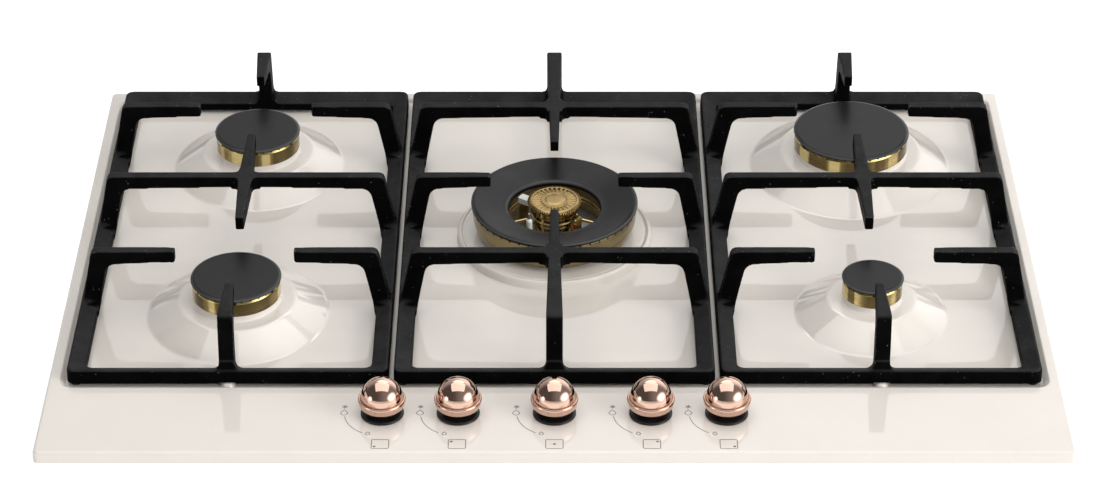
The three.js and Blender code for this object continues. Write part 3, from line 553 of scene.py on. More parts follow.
def cone_solid(x, y, crown, drop):
    """The cone under a burner with its collar; with a drop, the hollow under it."""
    rim = crown + CONE_LEDGE - drop / 2
    foot = rim + CONE_RUN
    if drop:
        floor = RECESS_FLOOR - drop
        corners = [(0, floor - 0.5), (foot, floor - 0.5), (foot, floor), (rim, LEDGE - drop, 3), (0, LEDGE - drop)]
    else:
        collar = CROWN_BOTTOM - 0.3
        corners = [(0, SUNK - 0.5), (foot + 7, SUNK - 0.5), (foot + 7, SUNK), (foot, SUNK, 2.0), (rim, LEDGE, 1.8),
                   (crown - 0.4, LEDGE, 1.2), (crown - 0.6, collar, 0.4), (0, collar)]
    return lathe(soft(corners, 8), 128, x, y)


def plinth_solid():
    """The raised disc under the wok burner."""
    corners = [(0, ROOT), (79.5, ROOT), (79.5, SUNK), (76.9, SUNK, 0.6), (76.6, 1.8, 0.9), (75.4, 3.5, 0.9),
               (73.9, 3.5, 0.7), (72.6, 2.1, 0.5), (71.4, 2.0, 0.4), (70.6, 2.5, 0.3), (0, 2.5)]
    return lathe(soft(corners), 144, *WOK)


def bump_solid(x):
    """A bump in front that a grate's notch fits over."""
    corners = [(0, ROOT), (7, ROOT), (7, SUNK), (5.2, SUNK, 1), (3.4, -0.8, 1.6), (0, -0.8)]
    return lathe(soft(corners, 5), 40, x, RECESS["front"] + 4.8 + BUMP_SETBACK)


def make_plate():
    rim, steps = [(-RIM, 0.0), (-RIM_ROUND, 0.0)], 7
    for k in range(1, steps + 1):
        a = math.pi / 2 * k / steps
        rim.append((-RIM_ROUND + RIM_ROUND * math.sin(a), RIM_ROUND * (1 - math.cos(a))))
    obj = raw("top_plate_enamel", loft([(z, centred(PLATE_W, PLATE_D, inset, PLATE_CORNER)) for z, inset in rim]))
    boolean(obj, recess_solid(0, 2))
    for x, y, crown, _ in BURNERS.values():
        boolean(obj, cone_solid(x, y, crown, 0), "UNION")
    boolean(obj, plinth_solid(), "UNION")
    for x in (-PITCH, 0, PITCH):
        boolean(obj, bump_solid(x), "UNION")
    hollow = raw("hollow", prism(centred(PLATE_W, PLATE_D, SHEET, PLATE_CORNER), -RIM - 1, -SHEET))
    boolean(hollow, recess_solid(SHEET, 1))
    combine(obj, hollow)
    for x, y, crown, _ in BURNERS.values():
        boolean(obj, cone_solid(x, y, crown, SHEET))
        boolean(obj, cylinder(crown - CUP_HOLE_INSET, -6, 17, 96, x, y))
        boolean(obj, cylinder(ROD_HOLE, 2, 12, 32, *polar(crown + CONE_LEDGE / 2, ROD_ANGLE, x, y)))
    boolean(obj, lathe([(0, -6), (73, -6), (72, 0.6), (70, 1.3), (0, 1.3)], 128, *WOK))  # under the disc
    boolean(obj, cylinder(WOK_HOLE, -8, 4, 96, *WOK))
    for x in KNOBS.values():
        boolean(obj, cylinder(KNOB_HOLE, -3, 2, 32, x, KNOB_Y))
    finished(obj, "enamel", "root", nodes=["top_plate"], angle=28)


# ---------------- grates

RAIL_BOTTOM, RAIL_TOP, GRATE_TOP = -1.2, 10.3, 54.5
BAR_W, BAR_D, TIP_W, TIP_D = 8.0, 11.5, 6.4, 9.6  # widths and depths of bars and of their tips
RAIL_W, RAIL_SLOPE, RAIL_CREST = 13.5, 5.5, 2.0  # width, fall to the inner edge, level strip outside
BAR_LEAN, SPINE_LEAN = 11, 9.5  # how far their legs lean in from foot to top
KNEE = 8.0  # height over which a leg or post spreads onto its rail
HALF_W, HALF_D = GRATE_W / 2, GRATE_D / 2
VOXEL = 0.8  # of the mesh that fuses a grate


def leg_face(reach, lean, z):
    """Distance of a leg's outer face from the grate's middle line, at a height."""
    return -reach + (z - RAIL_BOTTOM) / (GRATE_TOP - RAIL_BOTTOM) * lean


def bent_leg(reach, lean, leg, tip, width_at):
    """A leg that bends into a bar and ends in a slimmer tip."""
    low, under, top = [leg_face(reach, lean, z) for z in (RAIL_BOTTOM, GRATE_TOP - BAR_D, GRATE_TOP)]
    corners = [
        (low, RAIL_BOTTOM + 0.5), (low + leg, RAIL_BOTTOM + 0.5), (under + leg, GRATE_TOP - BAR_D, 7.5),
        (tip - 2.2, GRATE_TOP - TIP_D), (tip, GRATE_TOP - TIP_D, 0.8), (tip, GRATE_TOP, 1.0), (tip - 2.2, GRATE_TOP),
        (top, GRATE_TOP, 5.0)]
    return standing(soft(corners), width_at)


def spread(rise):
    """Extra half width of a foot this far above its rail: a quarter of an ellipse."""
    t = min(1.0, max(0.0, 1 - rise / KNEE))
    return 5.0 * (1 - math.sqrt(max(0.0, 1 - t * t)))


def leg_foot(y, leg):
    """The spread foot of a leg, lower at the rail's inner edge, where the rail's top is lower."""
    sections, steps = [], 13
    for k in range(steps + 1):
        z = RAIL_BOTTOM + 0.5 + (RAIL_TOP + KNEE - RAIL_BOTTOM - 0.5) * k / steps
        outer = BAR_W / 2 + spread(z - RAIL_TOP)
        inner = BAR_W / 2 + spread(z - RAIL_TOP + RAIL_SLOPE)
        x = leg_face(HALF_W, BAR_LEAN, z)
        corners = ((x, y - outer), (x + leg, y - inner), (x + leg, y + inner), (x, y + outer))
        sections.append((z, [Vector(corner) for corner in corners]))
    return loft(sections)


def cross_half(side, y, tip):
    """Half of a bar across; its width changes only at a free tip."""
    leg = RAIL_W + 0.1

    def width_at(x, _):
        return TIP_W if tip and abs(x - tip) < 1.5 else BAR_W

    shape = shifted(bent_leg(HALF_W, BAR_LEAN, leg, tip or 0.5, width_at), y=y)
    whole = joined(shape, leg_foot(y, leg))
    return whole if side < 0 else moved(whole, Matrix.Translation((0, 2 * y, 0)) @ rotation(180, "Z"))


def bar(y, reach=0.0):
    return joined(cross_half(-1, y, -reach), cross_half(1, y, -reach))


def post_footing(width):
    """Concave fillets at both sides of a post, following the slope of the rail's top."""
    inner, outer = width / 2, width / 2 + KNEE

    def section(top):
        return soft([(-outer, RAIL_BOTTOM + 1), (outer, RAIL_BOTTOM + 1), (outer, top), (inner, top, KNEE - 0.5),
                     (inner, top + KNEE), (-inner, top + KNEE), (-inner, top, KNEE - 0.5), (-outer, top)], 8)

    footing = loft([(-RAIL_W + 0.2, section(RAIL_TOP - RAIL_SLOPE - 0.4)), (-RAIL_CREST, section(RAIL_TOP - 0.4))])
    return shifted(spun(footing, 90, "X"), y=-HALF_D)


def spine(side, width, tip):
    """A bar from an end rail to its tip, tapering all the way from its bend."""
    def width_at(distance, _):
        bend = HALF_D - 14
        return width - (width - TIP_W) * min(1.0, max(0.0, (distance + bend) / (tip + bend)))

    shape = bent_leg(HALF_D, SPINE_LEAN, RAIL_W, tip, width_at)
    whole = joined(spun(shape, 90), post_footing(width))
    return whole if side < 0 else spun(whole, 180)


def crossing(y, width):
    """Fillets in the corners where two bars cross."""
    a, b, fillet = width / 2, BAR_W / 2, 5.0
    corners = []
    for sx, sy in ((1, 1), (-1, 1), (-1, -1), (1, -1)):
        quadrant = [(sx * (a + fillet + 0.5), sy * b), (sx * a, sy * b, fillet), (sx * a, sy * (b + fillet + 0.5))]
        corners += quadrant if sx * sy > 0 else quadrant[::-1]
    return shifted(prism(soft(corners), GRATE_TOP - BAR_D, GRATE_TOP), y=y)


def spoke(width, reach):
    """The lengthwise bar through an outer grate's middle."""
    half = prism(soft([(-width / 2, 0), (width / 2, 0), (TIP_W / 2, reach, 1.2), (-TIP_W / 2, reach, 1.2)]),
                 GRATE_TOP - BAR_D, GRATE_TOP)
    return joined(half, spun(half, 180))


def grate_frame():
    """Rails like a picture frame: upright outside, falling from a crest to the inner edge."""
    corner = 7
    ring = raw("ring", loft([(z, centred(GRATE_W, GRATE_D, inset, corner))
                             for z, inset in ((RAIL_BOTTOM, 0), (RAIL_TOP - 1.2, 0.4), (RAIL_TOP, 1.2))]))
    wide = RAIL_W - RAIL_CREST
    boolean(ring, loft([(z, centred(GRATE_W - 2 * RAIL_W, GRATE_D - 2 * RAIL_W, -grown, corner))
                        for z, grown in ((RAIL_BOTTOM - 1, 0), (RAIL_TOP - RAIL_SLOPE, 0.5), (RAIL_TOP, wide),
                                         (RAIL_TOP + 1, wide))]))
    return ring


def foot_pads():
    inset = 6.8
    pad = lathe(soft([(0, -3.7), (4.5, -3.7, 0.6), (4.5, 0), (0, 0)]), 24)
    return joined(*[shifted(pad, sx * (HALF_W - inset), sy * (HALF_D - inset)) for sx in (-1, 1) for sy in (-1, 1)])


def make_grate(name, x, middle):
    """One casting: rails and bars fused and rounded by a fine voxel mesh."""
    if middle:
        width, reach = 12.4, 50
        shapes = [bar(-ROW), bar(ROW), bar(0, reach), spine(-1, width, -reach), spine(1, width, -reach),
                  crossing(-ROW, width), crossing(ROW, width)]
    else:
        width, reach = 11.4, 45
        shapes = [bar(0), bar(-ROW, reach), bar(ROW, reach), spine(-1, width, -ROW - reach),
                  spine(1, width, -ROW - reach), spoke(width, ROW - reach), crossing(0, width)]
    ring = grate_frame()
    rails = [tuple(v.co) for v in ring.data.vertices], [list(p.vertices) for p in ring.data.polygons]
    bpy.data.objects.remove(ring)
    bars, bar_faces = joined(*shapes)
    obj = mesh_object(name, *joined(rails, (in_frame(bars), bar_faces)))
    remesh = obj.modifiers.new("remesh", "REMESH")
    remesh.mode = "VOXEL"
    remesh.voxel_size = VOXEL * MM * 1
    remesh.use_smooth_shade = True
    apply_modifiers(obj)
    notch = 6.4  # clear of the locating bump
    boolean(obj, prism(rectangle(-notch, -HALF_D - 1, notch, -HALF_D + BUMP_SETBACK + notch), RAIL_BOTTOM - 1, 0.4))
    relax = obj.modifiers.new("relax", "SMOOTH")
    relax.factor, relax.iterations = 0.5, 2
    thin = obj.modifiers.new("thin", "DECIMATE")
    thin.ratio = 0.16
    apply_modifiers(obj)
    obj.data.transform(Matrix.Translation((x * MM, MIDDLE_Y * MM, 0)))
    finished(obj, "cast_iron", name, nodes=[name], angle=55, weighted=False)
    piece(f"{name}_pads", shifted(foot_pads(), x, MIDDLE_Y), "rubber", name)


# ---------------- plain burners

NOTCH_PITCH = 7.1
ROD_SOCKET = 3.1  # radius of the holes for the rods in the cups


def radial_boxes(count, inner, outer, half_width, bottom, top, x, y):
    return around(prism(rectangle(inner, -half_width, outer, half_width), bottom, top), count, x, y, 0.5)


def make_crown(name, x, y, crown):
    """A flame spreader with small notches along its bevel."""
    skirt = crown - LIP_INSET - LIP_WALL - 0.6
    foot = CROWN_BOTTOM - 7.8
    profile = soft([
        (skirt, foot, 0.4), (skirt, CROWN_BOTTOM), (crown, CROWN_BOTTOM, 0.4), (crown, CROWN_TOP - 2.0, 0.4),
        (crown - 1.1, CROWN_TOP - 0.3, 0.2), (crown - 1.5, CROWN_TOP), (crown - 4.5, CROWN_TOP),
        (skirt - 2, CROWN_BOTTOM + 1), (skirt - 2, foot)], 4)
    obj = raw(f"burner_crown_{name}_brass", lathe(profile, 144 if crown > 30 else 96, x, y))
    notches = round(2 * math.pi * crown / NOTCH_PITCH)
    boolean(obj, radial_boxes(notches, crown - 4.2, crown + 1, 0.75, CROWN_TOP - 1.1, CROWN_TOP + 1, x, y))
    finished(obj, "brass", f"crown_{name}", nodes=[f"burner_crown_{name}"])


def make_cap(name, x, y, crown):
    radius = crown + 0.8
    bottom, top = CROWN_TOP + 0.3, CROWN_TOP + 2.4
    locate = crown - 5.1
    profile = soft([
        (0, bottom), (locate - 2, bottom), (locate - 2, bottom - 2), (locate, bottom - 2, 0.3), (locate, bottom),
        (radius - 0.4, bottom, 0.2), (radius, bottom + 0.4, 0.2), (radius, bottom + 0.9, 0.3),
        (radius - 2.2, top - 0.05, 0.9), (0, top)], 5)
    piece(f"burner_cap_{name}_enamel", lathe(profile, 128, x, y), "cap_enamel", f"cap_{name}",
          nodes=[f"burner_cap_{name}"], angle=40)


def add_inlet(obj, x, y, ceiling, bore, bore_top):
    """Gives a cup its hollow stem with the gas socket at the front."""
    boolean(obj, lathe(soft([(0, -40), (13, -40, 1), (13, ceiling), (0, ceiling)]), 48, x, y), "UNION")
    boolean(obj, moved(cylinder(5, 0, 6.5, 24), Matrix.Translation((x, y - 12, -32)) @ rotation(90, "X")), "UNION")
    boolean(obj, cylinder(bore, -38.2, bore_top, 48, x, y))


def make_cup(name, x, y, crown):
    lip = crown - LIP_INSET
    inside = lip - LIP_WALL
    flange = LEDGE - SHEET - 0.3
    profile = soft([
        (0, -4.8), (lip, -4.8, 1.5), (lip, flange - 2), (lip + 4, flange - 2), (lip + 4, flange), (lip, flange),
        (lip, LEDGE + 2.1, 0.5), (inside, LEDGE + 2.1, 0.5), (inside, -2, 1), (0, -3)], 4)
    obj = raw(f"burner_cup_{name}_cast", lathe(profile, 96, x, y))
    add_inlet(obj, x, y, -4, 11.2, 0)
    rod = polar(crown + CONE_LEDGE / 2, ROD_ANGLE, x, y)
    boolean(obj, cylinder(ROD_SOCKET, flange - 3, flange + 1, 24, *rod))
    finished(obj, "aluminium", "root", nodes=[f"burner_cup_{name}"])


def make_electrode(name, x, y, bottom, shoulder, top, look="ceramic", tip="steel", slot=None):
    """A rod with a collar, and its bare wire tip."""
    body = soft([
        (0, bottom), (2.4, bottom), (2.4, shoulder), (3.2, shoulder, 0.3), (3.2, shoulder + 1.5, 0.4),
        (2.4, shoulder + 1.5, 0.2), (2.4, top - 6.4, 0.8), (1.1, top - 5), (0, top - 5)], 4)
    piece(f"{name}_rod", lathe(body, 32, x, y), look, "root", nodes=[name])
    wire = lathe(soft([(0, top - 6), (0.9, top - 6), (0.9, top, 0.4), (0, top)], 4), 20, x, y)
    piece(f"{name}_tip", wire, tip, "root")


# ---------------- wok burner

def make_wok_bowl():
    """The bowl with its row of ports and the turned throat inside it, whose brass is older."""
    x, y = WOK
    throat = 42
    profile = soft([
        (38.6, WOK_FOOT), (55, WOK_FOOT, 1.0), (61.2, 6.4, 4), (64.1, 14.5, 4), (64.3, 21.4, 0.3), (64.8, 22.2, 0.5),
        (64.8, WOK_TOP - 0.6, 0.4), (64.0, WOK_TOP), (62.2, WOK_TOP), (61.4, 19, 4), (56.5, 6.4, 4), (41.5, 5.3, 1),
        (40.6, WOK_TOP - 7.4), (38.0, WOK_TOP - 7.4), (38.0, 14.0, 0.4), (37.0, 13.4, 0.4), (37.0, 12.4, 0.4),
        (38.0, 11.8, 0.4), (38.0, 10.6, 0.4), (37.2, 10.1, 0.3), (37.2, 9.3, 0.3), (38.4, 8.8, 0.3)], 8)
    obj = raw("wok_outer_crown_brass", lathe(profile, 168, x, y))
    port = shifted(spun(cylinder(0.8, 0, 4, 10), 90, "Y"), 63.4, 0, 26.8)
    boolean(obj, around(port, 50, x, y))
    # its outer brass is darkened as painted shade
    finished(obj, "bowl_brass", "wok_outer_crown", nodes=["wok_outer_crown"])
    obj.data.materials.append(MATERIALS["aged_brass"])
    for face in obj.data.polygons:
        centre = face.center / MM
        face.material_index = int(math.hypot(centre.x - x, centre.y - y) < throat)


def make_wok_ring():
    """A thin dished ring: its rim stands 5 mm above its inner lip."""
    bottom = WOK_TOP + 0.3
    lip = WOK_TOP - 3.8
    profile = soft([
        (EYE, lip - 3), (EYE + 3.7, lip - 3), (60.5, bottom), (65.0, bottom, 0.3), (65.6, bottom + 0.5, 0.3),
        (65.6, bottom + 1.2, 0.5), (64.0, bottom + 2.5, 0.9), (62.4, bottom + 2.4, 0.9), (40.8, lip + 1.4, 1.6),
        (38.6, lip + 1.2, 0.8), (37.0, lip - 0.1, 0.9), (EYE, lip - 1.6, 0.6)], 6)
    piece("wok_ring_cap_enamel", lathe(profile, 168, *WOK), "cap_enamel", "wok_ring_cap",
          nodes=["wok_ring_cap"], angle=40)


def make_wok_core():
    """The column under the inner cap: slots round its head and two polished rings."""
    top = WOK_TOP - 0.7
    profile = soft([
        (9.5, WOK_FOOT - 5), (11.5, WOK_FOOT - 5), (11.5, WOK_FOOT), (19.0, WOK_FOOT, 0.4), (19.0, 5.2, 0.5),
        (17.2, 5.8, 0.3), (17.2, 13.6, 0.3), (18.3, 14.1, 0.3), (18.3, 15.2, 0.3), (17.3, 15.6, 0.2),
        (17.3, 16.6, 0.2), (18.4, 17.1, 0.3), (18.4, 18.2, 0.3), (17.4, 18.8, 0.3), (17.6, 22.0, 0.5),
        (18.9, 23.2, 0.4), (18.9, top), (14.5, top), (9.5, 6.5)], 5)
    obj = raw("wok_inner_crown_brass", lathe(profile, 112, *WOK))
    boolean(obj, radial_boxes(24, 16.4, 20, 0.85, 23.9, 28, *WOK))
    finished(obj, "core_brass", "wok_inner_crown", nodes=["wok_inner_crown"])


def rope_edge(radius, height, thick, count, x, y):
    """Slanted ribs round a cap's edge."""
    ribs = []
    widths = [0.25, 0.5, 0.62, 0.66, 0.62, 0.5, 0.25]
    for k in range(count):
        path = []
        for step in range(len(widths)):
            t = step / (len(widths) - 1)
            at = polar(radius - 0.9 + 1.35 * math.sin(math.pi * t), 360 * (k + 0.75 * t) / count, x, y)
            path.append((*at, height + thick * (t - 0.5)))
        ribs.append(tube(path, widths, 8))
    return joined(*ribs)


def make_wok_medallion():
    """The inner cap: a corded edge and turned rings round a plain fluted boss."""
    x, y = WOK
    bottom = WOK_TOP - 0.4
    top = bottom + 4
    profile = soft([
        (0, bottom), (18.6, bottom, 0.3), (20.2, bottom + 1.1, 0.8), (20.2, top - 1.6, 0.8), (18.6, top - 0.25, 0.6),
        (17.4, top - 0.25, 0.4), (16.9, top - 0.9, 0.3), (10.9, top - 0.85, 0.3), (10.5, top - 0.35, 0.2),
        (9.7, top - 0.35, 0.2), (9.3, top - 0.8, 0.3), (7.6, top - 0.75, 0.4), (6.4, top - 0.2, 0.8), (0, top)], 5)
    obj = raw("wok_inner_cap_brass", lathe(profile, 112, x, y))
    flute = moved(cylinder(1.05, 0, 6, 12), Matrix.Translation((11.4, 0, top - 0.42)) @ rotation(90, "Y"))
    boolean(obj, around(flute, 28, x, y))
    finished(obj, "aged_brass", "wok_inner_cap", nodes=["wok_inner_cap"], angle=40)
    cord = rope_edge(20.3, bottom + 1.9, 2.6, 64, x, y)
    piece("wok_inner_cap_cord", cord, "aged_brass", "wok_inner_cap")


def make_wok_inside():
    """Bridges between core and bowl, the lugs beside the core and the white holder behind it."""
    x, y = WOK
    foot = WOK_SEAT + 0.3
    parts = []
    for angle in (-12, 190):
        parts.append(tube([(*polar(22, angle, x, y), 15.0), (*polar(37.0, angle, x, y), 12.6)], 1.25))
    for angle, height in ((214, 19.0), (317, 24.5)):
        side, top = rectangle(20.4, -3.9, 26.0, 3.9, 0.8), rectangle(21.2, -3.1, 25.2, 3.1, 0.6)
        lug = loft([(foot, side), (height - 0.8, side), (height, top)])
        parts.append(shifted(spun(lug, angle), x, y))
    piece("wok_bridges", joined(*parts), "core_brass", "root")
    px, py = polar(30, 146)
    for name, half_w, half_d, bottom, top, look, slot in (
            ("wok_holder", 3.4, 5.0, 17.6, 22.5, "ceramic", "ceramic"),
            ("wok_holder_post", 3.0, 4.4, foot, 17.4, "core_brass", "brass")):
        shape = spun(prism(rectangle(-half_w, -half_d, half_w, half_d, 1, 6), bottom, top), 56)
        piece(name, shifted(shape, x + px + 1.8, y + py), look, "root")


def make_wok_cup():
    x, y = WOK
    floor, flange = -14.0, 1.0
    profile = soft([
        (0, floor), (44, floor, 2), (47, floor + 4, 2), (47, flange - 2), (54, flange - 2), (54, flange),
        (50, flange), (50, WOK_SEAT, 0.3), (11.9, WOK_SEAT), (11.9, WOK_SEAT - 2.5), (43, flange - 4, 1),
        (43, floor + 3, 1), (0, floor + 1.8)], 4)
    obj = raw("burner_cup_wok_cast", lathe(profile, 112, x, y))
    add_inlet(obj, x, y, floor + 1, 10.9, floor + 4)
    for angle, *_ in WOK_RODS.values():
        boolean(obj, cylinder(ROD_SOCKET, -6, 4, 24, *polar(WOK_ROD_RADIUS, angle, x, y)))
    finished(obj, "aluminium", "root", nodes=["burner_cup_wok"])


# ---------------- knobs

def make_knob(name, x):
    """A domed knob in one piece with its stem, and the bezel that stays on the panel."""
    dome_z, dome_r, steps = 14.6, 15.4, 26
    start = math.radians(5)
    turns = [start + (math.pi / 2 - start) * k / steps for k in range(steps + 1)]
    dome = [(dome_r * math.cos(a), dome_z + dome_r * math.sin(a)) for a in turns]
    dome[-1] = (0.0, dome_z + dome_r)
    body = soft([
        (0, -26), (3, -26), (3, 5.4), (12.4, 5.4, 1.0), (15.0, 6.7, 1.4), (16.6, 9.0, 1.5), (17.35, 11.8, 1.5),
        (17.5, 13.6, 0.7), (16.9, 14.9, 0.6), (15.9, 14.7, 0.3), (15.5, 14.1, 0.2), (15.42, 15.0)], 6, closed=False)
    profile = [tuple(p) for p in body] + dome[1:]
    piece(f"knob_{name}_polished", lathe(profile, 128, x, KNOB_Y), "rose_gold", f"knob_{name}",
          nodes=[f"knob_{name}"], angle=48)
    bezel = soft([
        (3.5, 0.3), (15.8, 0.3, 0.3), (15.8, 1.2, 0.5), (14.9, 2.0, 0.5), (13.4, 2.0, 0.3), (12.9, 1.5, 0.3),
        (3.5, 1.5)], 5)
    piece(f"knob_bezel_{name}_moulded", lathe(bezel, 112, x, KNOB_Y), "black_plastic", "root",
          nodes=[f"knob_bezel_{name}"])


# ---------------- printed marks

PRINT_FOOT, PRINT_TOP, PRINT_LINE = 0.005, 0.04, 0.58  # heights over the panel, width of its lines


def ribbon(points, closed=False):
    """A flat printed line on the panel through (x, y) points."""
    at = [Vector(p) for p in points]
    count = len(at)
    left, right = [], []
    for i, p in enumerate(at):
        before = at[i - 1] if closed or i > 0 else p
        after = at[(i + 1) % count] if closed or i < count - 1 else p
        ahead = (after - before).normalized()
        side = Vector((-ahead.y, ahead.x)) * PRINT_LINE / 2
        left.append(p + side)
        right.append(p - side)
    verts = [(p.x, p.y, z) for z in (PRINT_FOOT, PRINT_TOP) for p in left + right]
    top = 2 * count
    faces = []
    for i in range(count if closed else count - 1):
        j = (i + 1) % count
        a, b, c, d = i, j, j + count, i + count
        faces += [[a, b, c, d], [d + top, c + top, b + top, a + top],
                  [b, a, a + top, b + top], [d, c, c + top, d + top]]
    if not closed:
        last = count - 1
        faces += [[0, count, count + top, top], [last + count, last, last + top, last + count + top]]
    return verts, faces


def disc(x, y, rx, ry, sides=24):
    turns = [2 * math.pi * k / sides for k in range(sides)]
    return prism([Vector((x + rx * math.cos(a), y + ry * math.sin(a))) for a in turns], PRINT_FOOT, PRINT_TOP)


def flame(x, y, size):
    """A small flame outline, point toward the back."""
    half = [(0, 1.0), (0.25, 0.62), (0.62, 0.2), (0.72, -0.28), (0.42, -0.72), (0, -0.84)]
    outline = half + [(-a, b) for a, b in half[-2:0:-1]]
    return [(x + a * size, y + b * size) for a, b in outline]


def make_marks():
    """Round each knob: a spark sign, flames at both ends of an arc, and the burner's place in a frame."""
    shapes = []
    spot_x, spot_y, frame_y = 4.2, 3.0, -244.1
    for name, x in KNOBS.items():
        spark = x - 27.7, KNOB_Y + 8.2
        for angle in (20, 80, 140):
            shapes.append(ribbon([polar(-2.3, angle, *spark), polar(2.3, angle, *spark)]))
        shapes.append(ribbon(flame(x - 27.9, KNOB_Y + 0.9, 3.6), True))
        shapes.append(ribbon([polar(27.5, 188 + 52 * k / 20, x, KNOB_Y) for k in range(21)]))
        shapes.append(ribbon(flame(x - 9.5, KNOB_Y - 24.7, 2.2), True))
        shapes.append(ribbon(rectangle(x - 6.25, frame_y - 5.4, x + 6.25, frame_y + 5.4, 1.3, 4), True))
        dx = -spot_x if "left" in name else spot_x if "right" in name else 0
        dy = -spot_y if "front" in name else spot_y if "back" in name else 0
        shapes.append(disc(x + dx, frame_y + dy, 1.1, 0.95))
    piece("printed_marks", joined(*shapes), "print", "root")


# ---------------- tray, pipes and fixings

def make_tray_details():
    """Screws along the tray, its cable grommet and the clamps' bolts."""
    head = lathe(soft([(0, 0), (3.6, 0), (3.6, 1.0, 0.4), (2.4, 1.9, 0.8), (0, 2.1)], 4), 28)
    screws = [shifted(spun(head, sx * 90, "Y"), sx * 276, y, z)
              for sx in (-1, 1) for y, z in ((-200, -20), (-75, -12), (75, -12), (200, -20))]
    screws += [shifted(spun(head, -90, "X"), x, 236, -14) for x in (-230, -60, 110, 215)]
    piece("tray_screws", joined(*screws), "steel", "root")
    grommet = soft([(2.6, -2.5), (5.6, -2.5), (5.6, 1.3), (7.8, 1.3, 0.3), (7.8, 2.6, 0.8), (2.6, 2.6, 0.5)], 4)
    piece("cable_grommet", shifted(spun(lathe(grommet, 40), -90, "X"), -120, 234.8, -30),
          "rubber", "root")
    hexagon = [Vector(polar(4.6, 60 * k)) for k in range(6)]
    bolt = joined(prism(hexagon, 0, 3), cylinder(6, 0, 0.8, 32), cylinder(2, 0, 4.6, 20))
    bolts = [shifted(spun(bolt, sx * 90, "Y"), sx * 278.3, y, -24) for sx in (-1, 1) for y in (-150, 150)]
    piece("clamp_bolts", joined(*bolts), "steel", "root")


def make_manifold():
    """The gas pipe with its bend, and the threaded fitting at its back end."""
    side, front, back, z, bend, steps = 263.567, KNOB_Y - 19.5, 250.0, -30.0, 14.0, 8
    corners = (side - bend, front), (side, front), (side, front + bend)
    path = [(-147.6, front, z), (side - bend - 0.1, front, z)]
    for k in range(1, steps):
        t = k / steps
        path.append((*[a * (1 - t) ** 2 + b * 2 * t * (1 - t) + c * t * t for a, b, c in zip(*corners)], z))
    path += [(side, front + bend, z), (side, 230, z)]
    thread, pitch = [(5.0, 0), (10.3, 0, 0.4)], 1.8
    for k in range(1, 7):
        thread += [(10.4, k * pitch - pitch / 2), (9.5, k * pitch)]
    thread += [(10.5, 12.2), (10.5, 25), (0, 25), (0, 9), (5.0, 9)]
    fitting = moved(lathe(soft(thread, 3), 64), Matrix.Translation((side, back, z)) @ rotation(90, "X"))
    piece("gas_manifold_pipe", joined(tube(path, 6.5, 32), fitting), "steel", "root", nodes=["gas_manifold"])


def dress_carried_nodes():
    """Gives the solids that no piece replaces their materials."""
    for row in frame["record"]["subparts"]:
        obj = frame["nodes"][row["node"]]
        obj.data.materials.clear()
        obj.data.materials.append(MATERIALS[row["material_slot"]])


# ---------------- stage

PAPER_GLOW = 0.55
WORKTOP = 45.95 * MM  # height of the worktop above the tray's underside
FLOOR_RINGS = ((0.6, 0), (1.5, 0), (4, 0), (8, 0), (8.8, 0.1), (9.2, 0.4), (9.35, 1.1))  # radius, height
STUDIO_DARK, STUDIO_BACK = 0.2, 1.03  # what polished faces mirror: in front, and behind the hob
STUDIO_TILT, STUDIO_AMBIENT = 0.5, 0.345  # how much more of it at the right; light on matt faces
LAMP_TARGET = Vector((0, 0, 0.06))
LAMPS = {  # place, size, watts, feather, seen in reflections
    "top_box": ((0.0, 0.0, 1.6), (2.0, 1.6), 14, 0, True),
    "back_box": ((0.0, 1.3, 1.75), (2.2, 0.7), 12.5, 0.3, True),
    "right_box": ((3.0, -1.7, 1.2), (4.8, 3.2), 180, 0.45, True),
    "right_fill": ((3.0, -1.7, 1.2), (4.8, 3.2), 370, 0.45, False),
    "left_box": ((-1.75, -1.0, 0.35), (1.0, 0.9), 9, 0.45, True),
    "front_fill": ((0.3, -2.3, 0.55), (1.6, 0.8), 8, 0, False),
}
CAMERA_PLACE, CAMERA_TILT, CAMERA_SHIFT = (0, -2.1222, 1.4500), 33.11, 0.0005
FOCAL, FRAME_W, SENSOR_W = 3243.07, 1110, 36.0  # pixels, pixels, mm


def make_lamp(name, place, size, watts, feather, mirrored):
    """A softbox aimed at the hob, fading over the feather toward its edge; the camera doesn't see it."""
    data = bpy.data.lights.new(name, "AREA")
    data.shape = "RECTANGLE"
    data.size, data.size_y = size
    data.energy = watts
    if feather:
        data.use_nodes = True
        tree = data.node_tree
        radius = tree.nodes.new("ShaderNodeVectorMath")
        radius.operation = "DISTANCE"
        radius.inputs[1].default_value = (0.5, 0.5, 0)
        tree.links.new(tree.nodes.new("ShaderNodeNewGeometry").outputs["Parametric"], radius.inputs[0])
        fade = levels(tree, radius.outputs["Value"], 0.5 - feather, 0.5, 1.0, 0.0, "SMOOTHSTEP")
        tree.links.new(fade, tree.nodes["Emission"].inputs["Strength"])
    obj = bpy.data.objects.new(name, data)
    obj.location = place
    obj.rotation_mode = "QUATERNION"
    obj.rotation_quaternion = (LAMP_TARGET - Vector(place)).to_track_quat("-Z", "Y")
    obj.visible_camera = False
    obj.visible_glossy = mirrored
    bpy.context.collection.objects.link(obj)


